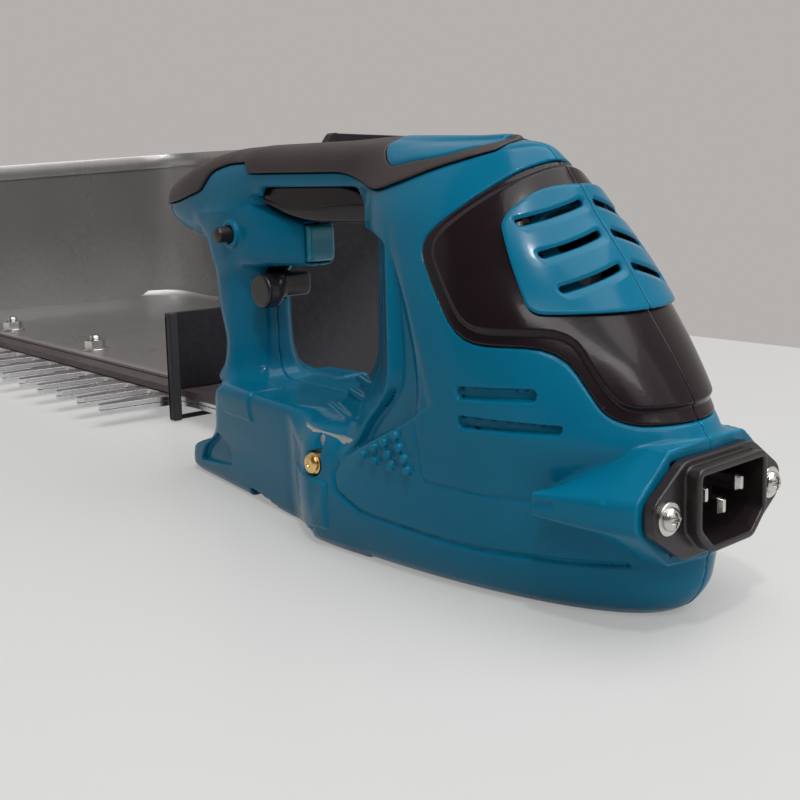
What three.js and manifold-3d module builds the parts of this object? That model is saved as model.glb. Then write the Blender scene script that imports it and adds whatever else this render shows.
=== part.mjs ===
// Hand-held electric leaf harvester: a clamshell body with a D-handle drives two
// comb blades that slide against each other, and a sheet-metal tray stands behind them.
// Millimetres. +X points forward to the blades, +Y to the tool's left, +Z up.
// The origin is the foot of the drive gear's axis, on the sole.
import * as THREE from 'three';
import * as BufferGeometryUtils from 'three/addons/utils/BufferGeometryUtils.js';
import Module from 'manifold-3d';

const wasm = await Module();
wasm.setup();

// Clearances and walls
const seatGap = 0.3;
const runningGap = 0.5;
const wall = 2.5;
const skinDepth = 1.2;
const simplifyTolerance = 0.05;

// Finish of each material: colour, roughness, metalness
const finishes = {
  teal: [0x0b6f8f, 0.28, 0],
  dark: [0x2a2022, 0.25, 0],
  rubber: [0x453a39, 0.6, 0],
  black: [0x1a1716, 0.5, 0],
  steel: [0xc9cbcc, 0.25, 1],
  barMetal: [0x4a4041, 0.5, 0.6],
  trayMetal: [0x77767a, 0.35, 0.9],
  platePaint: [0x24242b, 0.4, 0.2],
  brass: [0xc99b4a, 0.3, 1],
  castMetal: [0x8d9093, 0.6, 0.9],
  copper: [0xa85a32, 0.4, 0.9],
  fibre: [0xd8d2c2, 0.6, 0],
};

const model = new THREE.Group();

// Solids and meshes

function solid(geometry) {
  const bare = geometry.clone();
  bare.deleteAttribute('normal');
  bare.deleteAttribute('uv');
  const merged = BufferGeometryUtils.mergeVertices(bare, 1e-5);
  const mesh = new wasm.Mesh({
    numProp: 3,
    vertProperties: new Float32Array(merged.attributes.position.array),
    triVerts: new Uint32Array(merged.index.array),
  });
  return new wasm.Manifold(mesh);
}

function geometryOf(body) {
  const mesh = body.getMesh();
  const geometry = new THREE.BufferGeometry();
  geometry.setAttribute('position', new THREE.BufferAttribute(new Float32Array(mesh.vertProperties), 3));
  geometry.setIndex(new THREE.BufferAttribute(new Uint32Array(mesh.triVerts), 1));
  return geometry;
}

function join(first, ...others) {
  return others.reduce((sum, other) => sum.add(other), first);
}

function cut(first, ...others) {
  return others.reduce((rest, other) => rest.subtract(other), first);
}

function keep(first, ...others) {
  return others.reduce((rest, other) => rest.intersect(other), first);
}

// The body without loose slivers that fine cuts leave behind.
function largest(body) {
  return body.decompose().reduce((best, piece) => (piece.volume() > best.volume() ? piece : best));
}

function addPart(name, body, finish) {
  const [color, roughness, metalness] = finishes[finish];
  const material = new THREE.MeshStandardMaterial({ color, roughness, metalness });
  const whole = largest(solid(geometryOf(largest(body.simplify(simplifyTolerance)))));
  const mesh = new THREE.Mesh(geometryOf(whole), material);
  mesh.name = name;
  model.add(mesh);
}

function block(x0, x1, y0, y1, z0, z1) {
  const geometry = new THREE.BoxGeometry(x1 - x0, y1 - y0, z1 - z0);
  geometry.translate((x0 + x1) / 2, (y0 + y1) / 2, (z0 + z1) / 2);
  return solid(geometry);
}

// A cylinder or cone from one end of its axis to the other, along x, y or z.
function rod(axis, centre, radius, from, to, endRadius = radius, sides = 16) {
  const geometry = new THREE.CylinderGeometry(endRadius, radius, to - from, sides);
  geometry.translate(0, (from + to) / 2, 0);
  if (axis === 'z') {
    geometry.rotateX(Math.PI / 2);
    geometry.translate(centre[0], centre[1], 0);
  } else if (axis === 'x') {
    geometry.rotateZ(-Math.PI / 2);
    geometry.translate(0, centre[0], centre[1]);
  } else {
    geometry.translate(centre[0], 0, centre[1]);
  }
  return solid(geometry);
}

function ringZ(centre, outer, inner, z0, z1, sides = 24) {
  return cut(rod('z', centre, outer, z0, z1, outer, sides), rod('z', centre, inner, z0 - 1, z1 + 1, inner, sides));
}

// A closed outline with rounded corners: each corner is [u, v] or [u, v, radius].
function outline(corners, radius = 0) {
  const shape = new THREE.Shape();
  const count = corners.length;
  for (let i = 0; i < count; i++) {
    const before = new THREE.Vector2(...corners[(i + count - 1) % count].slice(0, 2));
    const here = new THREE.Vector2(...corners[i].slice(0, 2));
    const after = new THREE.Vector2(...corners[(i + 1) % count].slice(0, 2));
    const wanted = corners[i][2] ?? radius;
    const reach = Math.min(wanted, here.distanceTo(before) * 0.45, here.distanceTo(after) * 0.45);
    const start = here.clone().add(before.sub(here).setLength(Math.max(reach, 1e-6)));
    const end = here.clone().add(after.sub(here).setLength(Math.max(reach, 1e-6)));
    if (i === 0) shape.moveTo(start.x, start.y);
    else shape.lineTo(start.x, start.y);
    if (reach > 0.05) shape.quadraticCurveTo(here.x, here.y, end.x, end.y);
  }
  shape.closePath();
  return shape;
}

function extruded(shape, depth, curveSegments = 3) {
  return new THREE.ExtrudeGeometry(shape, { depth, bevelEnabled: false, curveSegments });
}

// Prisms of an outline: in plan (x, y), in side view (x, z) and in end view (y, z).
function prismZ(shape, z0, z1, curveSegments) {
  const geometry = extruded(shape, z1 - z0, curveSegments);
  geometry.translate(0, 0, z0);
  return solid(geometry);
}

function prismY(shape, y0, y1, curveSegments) {
  const geometry = extruded(shape, y1 - y0, curveSegments);
  geometry.rotateX(Math.PI / 2);
  geometry.translate(0, y1, 0);
  return solid(geometry);
}

function prismX(shape, x0, x1, curveSegments) {
  const geometry = extruded(shape, x1 - x0, curveSegments);
  geometry.rotateX(Math.PI / 2);
  geometry.rotateZ(Math.PI / 2);
  geometry.translate(x0, 0, 0);
  return solid(geometry);
}

// A closed skin over rings of points, each ring with the same count, with flat ends.
function loft(rings) {
  const size = rings[0].length;
  const positions = [];
  const faces = [];
  for (const ring of rings) for (const point of ring) positions.push(...point);
  for (let r = 0; r + 1 < rings.length; r++) {
    for (let i = 0; i < size; i++) {
      const a = r * size + i;
      const b = r * size + (i + 1) % size;
      faces.push(a, b, b + size, a, b + size, a + size);
    }
  }
  for (const [index, flip] of [[0, true], [rings.length - 1, false]]) {
    const middle = [0, 1, 2].map((k) => rings[index].reduce((sum, point) => sum + point[k], 0) / size);
    const hub = positions.length / 3;
    positions.push(...middle);
    for (let i = 0; i < size; i++) {
      const a = index * size + i;
      const b = index * size + (i + 1) % size;
      if (flip) faces.push(hub, b, a);
      else faces.push(hub, a, b);
    }
  }
  const geometry = new THREE.BufferGeometry();
  geometry.setAttribute('position', new THREE.Float32BufferAttribute(positions, 3));
  geometry.setIndex(faces);
  const body = solid(geometry);
  if (body.volume() > 0) return body;
  for (let f = 0; f < faces.length; f += 3) [faces[f + 1], faces[f + 2]] = [faces[f + 2], faces[f + 1]];
  geometry.setIndex(faces);
  return solid(geometry);
}

// Values between the rows of a short table, whose first column is the position.
function between(rows, position) {
  const last = rows.length - 1;
  if (position <= rows[0][0]) return rows[0].slice(1);
  if (position >= rows[last][0]) return rows[last].slice(1);
  const i = rows.findIndex((row) => row[0] > position) - 1;
  const share = (position - rows[i][0]) / (rows[i + 1][0] - rows[i][0]);
  return rows[i].slice(1).map((value, k) => value + share * (rows[i + 1][k + 1] - value));
}

const mirror = (body) => body.mirror([0, 1, 0]);

// Body shell. Each form takes a growth: 0 is the outside skin, minus a wall is the inside.

// Rear body by height: seam at the tail, depth from tail to widest place, half-width, front.
const bodyHeight = 113.3;
const hiddenDepth = -2;

// Rows of a form for a growth: the hidden inside takes every other row.
function rowsFor(rows, growth) {
  return growth < hiddenDepth ? rows.filter((row, i) => i % 2 === 0 || i === rows.length - 1) : rows;
}
const bodyHalfWidth = 35;
const rearLevels = [
  [0, -86, 104, bodyHalfWidth - 5.5, 22],
  [3, -90.5, 104, bodyHalfWidth - 3, 22],
  [10, -94.5, 102, bodyHalfWidth - 1, 22],
  [20, -95.5, 94, bodyHalfWidth, 22],
  [41, -95.5, 68, bodyHalfWidth, 20],
  [50, -91, 58, bodyHalfWidth, 16],
  [60, -85, 50, bodyHalfWidth - 0.5, 13.5],
  [72, -76.5, 42, bodyHalfWidth - 2, 13],
  [84, -68, 38, bodyHalfWidth - 5, 13.5],
  [94, -60, 36, bodyHalfWidth - 8.5, 16],
  [102, -54.5, 34, bodyHalfWidth - 13.5, 20],
  [108, -50, 32, bodyHalfWidth - 19.5, 22],
  [111.5, -46, 28, bodyHalfWidth - 25.5, 20],
  [bodyHeight, -38, 20, bodyHalfWidth - 32, 12],
];

function rearBody(growth) {
  const sides = growth < hiddenDepth ? 14 : 24;
  const low = Math.max(0, -growth);
  const rows = rowsFor(rearLevels, growth);
  const levels = rows.map((row) => row[0]).filter((z) => z > low && z < bodyHeight + growth);
  levels.unshift(low);
  if (growth < 0) levels.push(bodyHeight + growth);
  const rings = levels.map((z) => {
    const [tail, depth, halfWidth, front] = between(rows, z);
    const middle = tail + depth;
    const ring = [];
    for (let i = 0; i < sides; i++) {
      const turn = (2 * Math.PI * i) / sides;
      const reach = Math.cos(turn) < 0 ? depth + growth : Math.max(front - middle + growth, 2);
      const across = Math.max(halfWidth + growth, 1);
      ring.push([middle + reach * Math.cos(turn), across * Math.sin(turn), z]);
    }
    return ring;
  });
  if (growth > 0) rings.push(rings[rings.length - 1].map(([x, y, z]) => [x, y, z + growth]));
  return loft(rings);
}

// Front base by height: half-width at the gear, behind the deck and at the nose, and nose tip.
const deckHeight = 36;
const noseTip = 116;
const baseLevels = [
  [0, 30.5, 23.5, 14, noseTip - 3],
  [2.5, 32.5, 24.5, 15.3, noseTip - 0.5],
  [8, 33.5, 25, 16, noseTip - 2],
  [14, 34.5, 25.2, 17, noseTip - 16],
  [20, 34.8, 25.4, 19, noseTip - 22.5],
  [28, 34.8, 25.8, 20.8, noseTip - 26],
  [deckHeight - 2.5, 34.5, 26, 22.5, noseTip - 29.5],
  [deckHeight, 32.5, 24.5, 21.5, noseTip - 31],
];
const baseRearEnd = -6;
const gearBulgeEnd = 15;
const deckStart = 33;

function baseOutlinePoint(x, levelRow, tip) {
  const [atGear, atDeck, atNose] = levelRow;
  if (x <= gearBulgeEnd) return atGear - 0.02 * Math.max(0, x + 5);
  if (x <= deckStart) {
    const share = (x - gearBulgeEnd) / (deckStart - gearBulgeEnd);
    const eased = share * share * (3 - 2 * share);
    return atGear - 0.4 + (atDeck - atGear + 0.4) * eased;
  }
  return atDeck + (atNose - atDeck) * ((x - deckStart) / (tip - deckStart));
}

function frontBase(growth) {
  const low = Math.max(0, -growth);
  const top = deckHeight + growth;
  const rows = rowsFor(baseLevels, growth);
  const levels = rows.map((row) => row[0]).filter((z) => z > low && z < top);
  levels.unshift(low);
  levels.push(top);
  const noseRadius = 9;
  const stations = [baseRearEnd, 5, gearBulgeEnd, 21, 27, deckStart];
  const rings = levels.map((z) => {
    const row = between(rows, z);
    const tip = row[3] + growth;
    const half = stations.map((x) => [x, baseOutlinePoint(x, row, tip) + growth]);
    const shoulder = tip - noseRadius;
    const atShoulder = baseOutlinePoint(shoulder, row, tip) + growth;
    for (let k = 0; k <= 3; k++) {
      const turn = (Math.PI / 2) * (k / 4);
      half.push([shoulder + noseRadius * Math.sin(turn), atShoulder - noseRadius + noseRadius * Math.cos(turn)]);
    }
    half.push([tip, (atShoulder - noseRadius) * 0.5]);
    const left = half.map(([x, y]) => [x, y, z]);
    const right = half.map(([x, y]) => [x, -y, z]).reverse();
    return [...left, ...right];
  });
  return loft(rings);
}

// A superellipse section across X, from its lowest to its highest point.
function sectionX(x, halfWidth, bottom, top, power, sides = 20) {
  const ring = [];
  const middle = (bottom + top) / 2;
  const half = (top - bottom) / 2;
  for (let i = 0; i < sides; i++) {
    const turn = (2 * Math.PI * i) / sides;
    const c = Math.cos(turn);
    const s = Math.sin(turn);
    ring.push([
      x,
      halfWidth * Math.sign(c) * Math.abs(c) ** (2 / power),
      middle + half * Math.sign(s) * Math.abs(s) ** (2 / power),
    ]);
  }
  return ring;
}

// Grip by station along X: underside, top and half-width.
const gripHalfWidth = 13.3;
const gripTop = 114.3;
const gripUnderside = 101.5;
const gripStations = [
  [-30, 89, gripTop - 5.6, gripHalfWidth + 1.4],
  [-16, 90, gripTop - 2.6, gripHalfWidth + 2.2],
  [0, 94, gripTop - 1, gripHalfWidth + 1.2],
  [12, gripUnderside - 5.5, gripTop - 0.3, gripHalfWidth + 0.2],
  [69, gripUnderside - 5.5, gripTop - 0.1, gripHalfWidth],
  [74, 94, gripTop - 0.3, gripHalfWidth],
  [84, 86, gripTop - 0.5, gripHalfWidth],
  [97, 83, gripTop - 1.7, gripHalfWidth - 0.3],
  [110, 83, gripTop - 4.2, gripHalfWidth - 1],
  [120, 84.5, gripTop - 6.8, gripHalfWidth - 2.3],
  [130, 87.5, gripTop - 10, gripHalfWidth - 4.4],
  [136, 89.5, gripTop - 12.6, gripHalfWidth - 7.2],
  [141, 91.3, gripTop - 15.5, gripHalfWidth - 9.8],
  [142, 92.6, gripTop - 17.5, gripHalfWidth - 10.6],
];
const gripOpening = [12, 66];

function grip(growth) {
  const rows = rowsFor(gripStations, growth);
  const tip = rows[rows.length - 1][0] + growth;
  const stations = rows.map((row) => row[0]).filter((x) => x < tip);
  if (stations[stations.length - 1] < tip - 0.01) stations.push(tip);
  const sides = growth < hiddenDepth ? 10 : 14;
  const full = loft(stations.map((x) => {
    const [bottom, top, halfWidth] = between(rows, x);
    return sectionX(x, Math.max(halfWidth + growth, 0.8), bottom - growth, top + growth, 2.7, sides);
  }));
  const [rear, front] = gripOpening;
  return cut(full, block(rear + growth, front - growth, -60, 60, 60, gripUnderside - growth));
}

// Post by height: rear face, front face, half-width, half-width of the rear face.
const postRear = 77;
const postFront = 103;
const postHalfWidth = 12.2;
const postLevels = [
  [deckHeight - 4, postRear - 4, postFront - 12, postHalfWidth + 6, 12],
  [deckHeight + 0.5, postRear - 3, postFront - 1, postHalfWidth + 4, 9],
  [deckHeight + 5, postRear - 1.2, postFront - 3, postHalfWidth + 1.5, 6.5],
  [deckHeight + 12, postRear - 0.3, postFront - 3.5, postHalfWidth + 0.3, 5.4],
  [60, postRear, postFront, postHalfWidth, 5],
  [70, postRear, postFront + 1.5, postHalfWidth, 5.2],
  [80, postRear, postFront + 4, postHalfWidth, 5.5],
  [90, postRear, postFront + 10.5, postHalfWidth + 0.5, 7],
];

function post(growth) {
  return loft(rowsFor(postLevels, growth).map(([z, rear, front, halfWidth, rearHalf]) => {
    const x0 = rear - growth;
    const x1 = front + growth;
    const w = halfWidth + growth;
    const long = x1 - x0;
    const half = [
      [x0, (rearHalf + growth) * 0.75],
      [x0 + 1.2, rearHalf + growth],
      [x0 + long * 0.22, w - 2.2],
      [x0 + long * 0.4, w - 0.3],
      [x0 + long * 0.56, w],
      [x0 + long * 0.73, w - 1.6],
      [x0 + long * 0.88, w - 4.8],
      [x1 - 0.8, w - 9],
    ];
    return [...half.map(([x, y]) => [x, y, z]), ...half.map(([x, y]) => [x, -y, z]).reverse()];
  }));
}

// Trigger box by station along X: underside, top, half-width.
const boxRear = 51.5;
const boxUnderside = 76;
const boxStations = [
  [boxRear, boxUnderside, 90.2, 6.3],
  [boxRear + 6, boxUnderside - 0.2, 91.8, 8.8],
  [boxRear + 15, boxUnderside - 0.6, 94.5, 11.6],
  [boxRear + 23, boxUnderside - 1.5, 97, 13.2],
  [boxRear + 33, boxUnderside - 2, 99, 13.6],
  [boxRear + 43, boxUnderside - 2, 99, 13],
  [boxRear + 51, boxUnderside + 1, 98, 10],
];

function triggerBox(growth) {
  const rows = boxStations.map((row) => [...row]);
  rows[0][0] -= growth;
  return loft(rows.map(([x, bottom, top, halfWidth]) =>
    sectionX(x, halfWidth + growth, bottom - growth, top + growth, 5, growth < hiddenDepth ? 8 : 12)));
}

// Inlet boss: a wedge that swells from the body to carry the inlet's flange.
const inletHeight = 30;
const flangeThickness = 3;
const bossFace = -95.5;
const bossEar = 26.5;
const bossHalfHeight = 13.6;
const bossTopHalf = 14.5;

function bossSection(x, ear, half, topHalf) {
  const tipHalf = Math.min(3.4, half * 0.5);
  const corner = (y, z) => [x, y, inletHeight + z];
  return [
    corner(ear, -tipHalf), corner(ear, tipHalf),
    corner(topHalf + 1, half - 0.6), corner(topHalf - 2, half),
    corner(-topHalf + 2, half), corner(-topHalf - 1, half - 0.6),
    corner(-ear, tipHalf), corner(-ear, -tipHalf),
    corner(-topHalf - 1, -half + 0.6), corner(-topHalf + 2, -half),
    corner(topHalf - 2, -half), corner(topHalf + 1, -half + 0.6),
  ];
}

function inletBoss(growth) {
  return loft([
    bossSection(bossFace, bossEar + growth, bossHalfHeight + growth, bossTopHalf + growth),
    bossSection(bossFace + 5, bossEar + 2.4 + growth, bossHalfHeight + growth, bossTopHalf + 1 + growth),
    bossSection(bossFace + 13, bossEar + 4.6 + growth, bossHalfHeight - 3.5 + growth, bossTopHalf + 4 + growth),
    bossSection(bossFace + 22, bossEar + 6.4 + growth, 5 + growth * 0.5, bossTopHalf + 9 + growth),
  ]);
}

// Gusset between the deck and the rear body: its front edge in side view, its flanks slanting in upward.
const gussetEdge = [[31, deckHeight - 3], [28.8, 35.3], [21.3, 40.1], [17.1, 46.7], [13, 53.8], [9.9, 60]];
const gussetSlope = [0.3, 0.62, 0.725];
const gussetReach = 42.9;

function gusset(growth) {
  const [slopeX, slopeY, slopeZ] = gussetSlope;
  const flank = (x, z) => Math.max((gussetReach + growth - slopeX * x - slopeZ * z) / slopeY, 0.5);
  const rear = 0;
  const front = gussetEdge[0][0] + growth;
  const low = gussetEdge[0][1];
  const high = gussetEdge[gussetEdge.length - 1][1];
  const wedge = loft([rear, front].map((x) => [
    [x, flank(x, low), low], [x, flank(x, high), high], [x, -flank(x, high), high], [x, -flank(x, low), low],
  ]));
  const side = outline([[rear - 1, low - 1], ...gussetEdge.map(([x, z]) => [x + growth, z]), [rear - 1, high]]);
  return keep(wedge, prismY(side, -60, 60));
}

const everything = 400;

function bodyForms(growth) {
  return join(rearBody(growth), frontBase(growth), grip(growth), post(growth), triggerBox(growth), inletBoss(growth),
    gusset(growth));
}

// Side-view outlines on the rear body, each reaching out past the tail.
const beyondTail = -120;

function panelOutline(extra) {
  return outline([
    [beyondTail, 47.2 - extra], [-86, 47.4 - extra, 4], [-81 + extra, 49.6, 3], [-70.5 + extra, 64.4 - extra, 7],
    [-47.6, 64.4 - extra, 7], [-28.8 + extra, 87.6, 9], [-38 + extra, 96.2, 8], [-46 + extra, 104 + extra, 6],
    [-52.5 + extra, 108.4 + extra], [-60, 125], [beyondTail, 125],
  ]);
}

function ventOutline(extra) {
  return outline([
    [beyondTail, 71.8 - extra], [-64.3 + extra, 72 - extra, 4], [-50.2 + extra, 93.6, 4],
    [-54 + extra, 101 + extra, 4], [-60, 102.2 + extra], [beyondTail, 102.2 + extra],
  ]);
}

// Vent slots in end view: each runs outward and down from beside the seam.
const ventSlotHeights = [96.8, 89.4, 81.6];
const ventSlotInner = 2.6;
const ventSlotOuter = 18.2;
const ventSlotFall = 3.8;
const ventSlotWidth = 1.9;

function ventSlots(extra) {
  const half = ventSlotWidth / 2 + extra;
  return join(...[1, -1].flatMap((side) => ventSlotHeights.map((z) => {
    const shape = outline([
      [side * (ventSlotInner - extra), z - half], [side * (ventSlotOuter + extra), z - ventSlotFall - half],
      [side * (ventSlotOuter + extra), z - ventSlotFall + half], [side * (ventSlotInner - extra), z + half],
    ], 0.8);
    return prismX(shape, beyondTail, -40, 2);
  })));
}

// The rubber's lower edge in side view, and everything above it.
function rubberOutline(extra) {
  return outline([
    [150, 94.5 - extra], [122, 96.9 - extra, 4], [102.5 - extra, 100.8 - extra, 3], [96 - extra, 107.4 - extra, 3],
    [85, 109.6 - extra, 4], [73.4 + extra, 109.8 - extra, 1], [70.5 + extra, 106.1 - extra, 1],
    [20, 105.8 - extra, 6], [10, 103 - extra, 5], [-2, 100.4 - extra, 5], [-14, 103 - extra, 5],
    [-25, 106.6 - extra, 3], [-38 - extra, 110.4 - extra, 1], [-38 - extra, 130], [150, 130],
  ]);
}

// The inset's rounded wedge, in plan, and how low it reaches down the grip's sides.
const insetFoot = 104;
function insetOutline(extra) {
  const near = [[3.4 + extra, 11.5, 4], [-5, 17.4 + extra, 5], [-24, 15 + extra, 8], [-33.5 - extra, 7.5, 4]];
  const far = near.map(([x, y, radius]) => [x, -y, radius]).reverse();
  return outline([[4.6 + extra, 0, 4], ...near, [-35 - extra, 0, 4], ...far]);
}

// Drive train
const teethModule = 1.2;
const gearTeeth = 48;
const pinionTeeth = 12;
const gearRadius = (teethModule * gearTeeth) / 2;
const pinionRadius = (teethModule * pinionTeeth) / 2;
const motorX = -(gearRadius + pinionRadius);
const motorCentre = [motorX, 0];
const gearCentre = [0, 0];

// Heights of the layers, from the sole up
const solePlateThickness = 2.4;
const bladeThickness = 2;
const lowerBladeZ = 5.4;
const upperBladeZ = lowerBladeZ + bladeThickness + seatGap;
const barZ = upperBladeZ + bladeThickness + seatGap;
const barThickness = 3;
const caseCoverZ = barZ + barThickness + seatGap;
const caseCoverThickness = 3;
const caseZ = caseCoverZ + caseCoverThickness;
const caseTop = deckHeight - wall - seatGap;
const gearZ = caseZ + 1.6;
const caseRoof = 4.4;
const gearHeadroom = 2.9;
const gearThickness = caseTop - caseRoof - gearZ - gearHeadroom;
const pinionThickness = gearThickness + 2;
const gearPocket = gearRadius + teethModule + 0.8;

// Blades
const stroke = 5;
const camRadius = 8;
const shaftRadius = 4;
const bladeRoot = -22;
const bladeBack = -54;
const toothPitch = 22;
const toothCount = 13;
const toothLength = 33;
const toothRootWidth = 11;
const toothTipWidth = 5;
const firstTooth = 200;
const boltY = -43;
const boltRadius = 2.9;
const boltPositions = [201, 316, 431];

// Tray
const plateX = 187.4;
const plateThickness = 2;
const sheet = 1.2;
const trayEnd = 490;
const trayBack = -203;
const trayFront = -17;
const trayHeight = 123;
const lowPlateHeight = 47.5;
const floorZ = barZ + barThickness + seatGap;
const trayCorner = 40;

// Motor
const statorRadius = 22;
const statorBore = 15.6;
const coreRadius = 15;
const statorBottom = 50;
const statorTop = 80;
const bracketZ = 93;
const bearingOuter = 9;

// Handle controls
const lockCentre = [82.5, 86];
const lockRadius = 2.7;
const lockRing = 4.8;
const lockTravel = 2;
const leverPivot = [74, 97.5];
const leverSwing = 4.2;
const leverHalfWidth = 10.2;
const leverPinRadius = 1.5;
const catchPivot = [82, 70];
const catchPinRadius = 1.5;
const triggerHalfWidth = 5;
const triggerLow = 77.6;
const triggerHigh = 89;
const triggerFace = 49.4;
const triggerTravel = 4;
const switchRear = 70.5;
const nippleCentre = [11.5, 24.2];
const nippleShank = 2;

// Screws that hold the halves, in side view
const housingScrews = [[-77, 55], [-14, 101], [3.5, 62], [90, 52], [117, 92.7]];
const screwRadius = 1.4;
const screwHeadRadius = 3.2;
const screwHeadDepth = 2.4;
const screwSeat = 8;
const screwBoss = 4;

function solePlateOutline(extra) {
  return outline([
    [-46 - extra, -22 - extra], [14, -22 - extra], [34 + extra, -14 - extra], [66 + extra, -10 - extra],
    [66 + extra, 10 + extra], [34 + extra, 14 + extra], [14, 22 + extra], [-46 - extra, 22 + extra],
  ], 6);
}

// Where the blades and their bar leave the right side of the base.
function bladeDoor() {
  return block(26, 130, -70, -12, solePlateThickness + 0.4, caseCoverZ + 0.6);
}

// Blind louvres on the outside of each half
const louvres = [
  [[-47.4, 51.6], [-74.4, 54], [-74.4, 57.2], [-47.4, 55]],
  [[-48.5, 44.2], [-81.8, 47.6], [-81.8, 50.8], [-48.5, 48.2]],
];
const louvreDepth = 1.4;

function louvreCuts() {
  return join(...louvres.map((corners) => prismY(outline(corners, 1.6), -60, 60, 2)));
}

function screwBores() {
  return join(...housingScrews.flatMap(([x, z]) => [
    rod('y', [x, z], screwRadius + 0.3, -screwSeat - 1, 10.5, screwRadius + 0.3, 8),
    rod('y', [x, z], screwHeadRadius + 0.5, -60, -screwSeat, screwHeadRadius + 0.5, 10),
  ]));
}

// Inside of the shell: bulkheads that seat the motor, bosses for the screws, pin seats.
function innerWalls(inside) {
  const motorBore = rod('z', motorCentre, statorRadius + seatGap, 30, 92, statorRadius + seatGap, 32);
  const lowRib = cut(keep(inside, block(-70, 0, -40, 40, 56, 58.5)), motorBore);
  const highRib = cut(keep(inside, block(-70, 0, -40, 40, 72, 74.5)), motorBore);
  const bracketRib = cut(
    keep(inside, block(-80, 10, -40, 40, bracketZ + 3.3, bracketZ + 5.8)),
    rod('z', motorCentre, bearingOuter + 1.6 + seatGap, 80, 110, bearingOuter + 1.6 + seatGap, 24),
  );
  const bosses = housingScrews.map(([x, z]) => keep(inside, rod('y', [x, z], screwBoss, -60, 60, screwBoss, 8)));
  const leverSeat = cut(
    keep(inside, block(leverPivot[0] - 3.5, leverPivot[0] + 3.5, -14, 14, leverPivot[1] - 4, leverPivot[1] + 4)),
    block(60, 90, -6.3, 6.3, 80, 110),
  );
  const catchSeat = cut(
    keep(inside, block(catchPivot[0] - 3.5, catchPivot[0] + 3.5, -14, 14, catchPivot[1] - 4, catchPivot[1] + 4)),
    block(60, 100, -3.9, 3.9, 50, 90),
  );
  return join(lowRib, highRib, bracketRib, leverSeat, catchSeat, ...bosses);
}

function openings() {
  const inletHole = block(-110, -84, -14.4, 14.4, inletHeight - 10.5, inletHeight + 10.5);
  const inletScrewHoles = [1, -1].map((side) =>
    rod('x', [side * 20, inletHeight], 1.8, -110, -88, 1.8, 10));
  const leverMouth = prismY(outline([
    [11.6, 80], [46, 80], [46.5, 89.6], [50.6, 91.1], [58, 92.3], [66.5, 95], [69.6, 96], [69.6, 107], [11.6, 107],
  ]), -10.5, 10.5);
  const leverThroat = block(66, 78.5, -6.3, 6.3, 91.5, 101.8);
  const leverPinHole = rod('y', leverPivot, leverPinRadius + 0.25, -9.5, 9.5, leverPinRadius + 0.25, 10);
  const catchThroat = block(70, 86, -3.9, 3.9, 63, 75.2);
  const catchPinHole = rod('y', catchPivot, catchPinRadius + 0.25, -8.2, 8.2, catchPinRadius + 0.25, 10);
  const triggerMouth = block(40, 72, -triggerHalfWidth - 0.3, triggerHalfWidth + 0.3,
    triggerLow - 0.3, triggerHigh + 0.3);
  const lockHole = rod('y', lockCentre, lockRadius + 0.3, 5, 20, lockRadius + 0.3, 14);
  const nippleHole = rod('y', nippleCentre, 3.4, 15, 45, 3.4, 14);
  const soleHole = prismZ(solePlateOutline(seatGap), -1, wall + 0.5);
  return [inletHole, ...inletScrewHoles, leverMouth, leverThroat, leverPinHole, catchThroat, catchPinHole,
    triggerMouth, lockHole, nippleHole, soleHole, bladeDoor(), screwBores()];
}

// Recess for a skin piece: its outline, down to the given depth below the body's surface.
function recess(prism, depth, forms) {
  return cut(prism, forms(-depth));
}

function shellHalves() {
  const outside = bodyForms(0);
  const inside = bodyForms(-wall);
  const lockCollar = rod('y', lockCentre, lockRing, 10, 15, lockRing, 18);
  const skinned = join(outside, lockCollar);
  const upper = (depth) => join(rearBody(depth), grip(depth));
  const panelRecess = recess(prismY(panelOutline(seatGap), -60, 60, 2), skinDepth + 1.5 * seatGap, rearBody);
  const rubberRecess = recess(prismY(rubberOutline(seatGap), -60, 60, 2), skinDepth + seatGap, upper);
  const ventWindow = prismY(ventOutline(-4), -60, 60, 2);
  const louvreRecess = recess(louvreCuts(), louvreDepth, rearBody);
  const carved = cut(skinned, panelRecess, rubberRecess, ventWindow, louvreRecess);
  const embedded = bodyForms(-wall + 0.7);
  const shell = cut(join(cut(carved, inside), innerWalls(embedded)), ...openings());
  return {
    left: keep(shell, block(-everything, everything, 0, everything, -10, everything)),
    right: keep(shell, block(-everything, everything, -everything, 0, -10, everything)),
  };
}

const halves = shellHalves();
addPart('left_housing', halves.left, 'teal');
addPart('right_housing', halves.right, 'teal');

// Dark rear panels, one on each half, that meet at the seam
function rearPanel() {
  const skin = cut(rearBody(0.8), rearBody(-skinDepth));
  const windowed = cut(keep(skin, prismY(panelOutline(0), -60, 60, 2)), prismY(ventOutline(-3), -60, 60, 2));
  return keep(windowed, block(-everything, everything, 0, everything, 0, everything));
}

const panel = rearPanel();
addPart('left_rear_panel', panel, 'dark');
addPart('right_rear_panel', mirror(panel), 'dark');

// Vent covers, proud of the panels, each with three slots
function ventCover() {
  const skin = cut(rearBody(2.8), rearBody(0.8 + seatGap));
  const shaped = cut(keep(skin, prismY(ventOutline(0), -60, 60, 2)), ventSlots(0));
  return keep(shaped, block(-everything, everything, 0, everything, 0, everything));
}

const cover = ventCover();
addPart('left_vent_cover', cover, 'teal');
addPart('right_vent_cover', mirror(cover), 'teal');

// Rubber over the top of the grip, with its teal inset
function topForms(growth) {
  return join(rearBody(growth), grip(growth));
}

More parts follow.
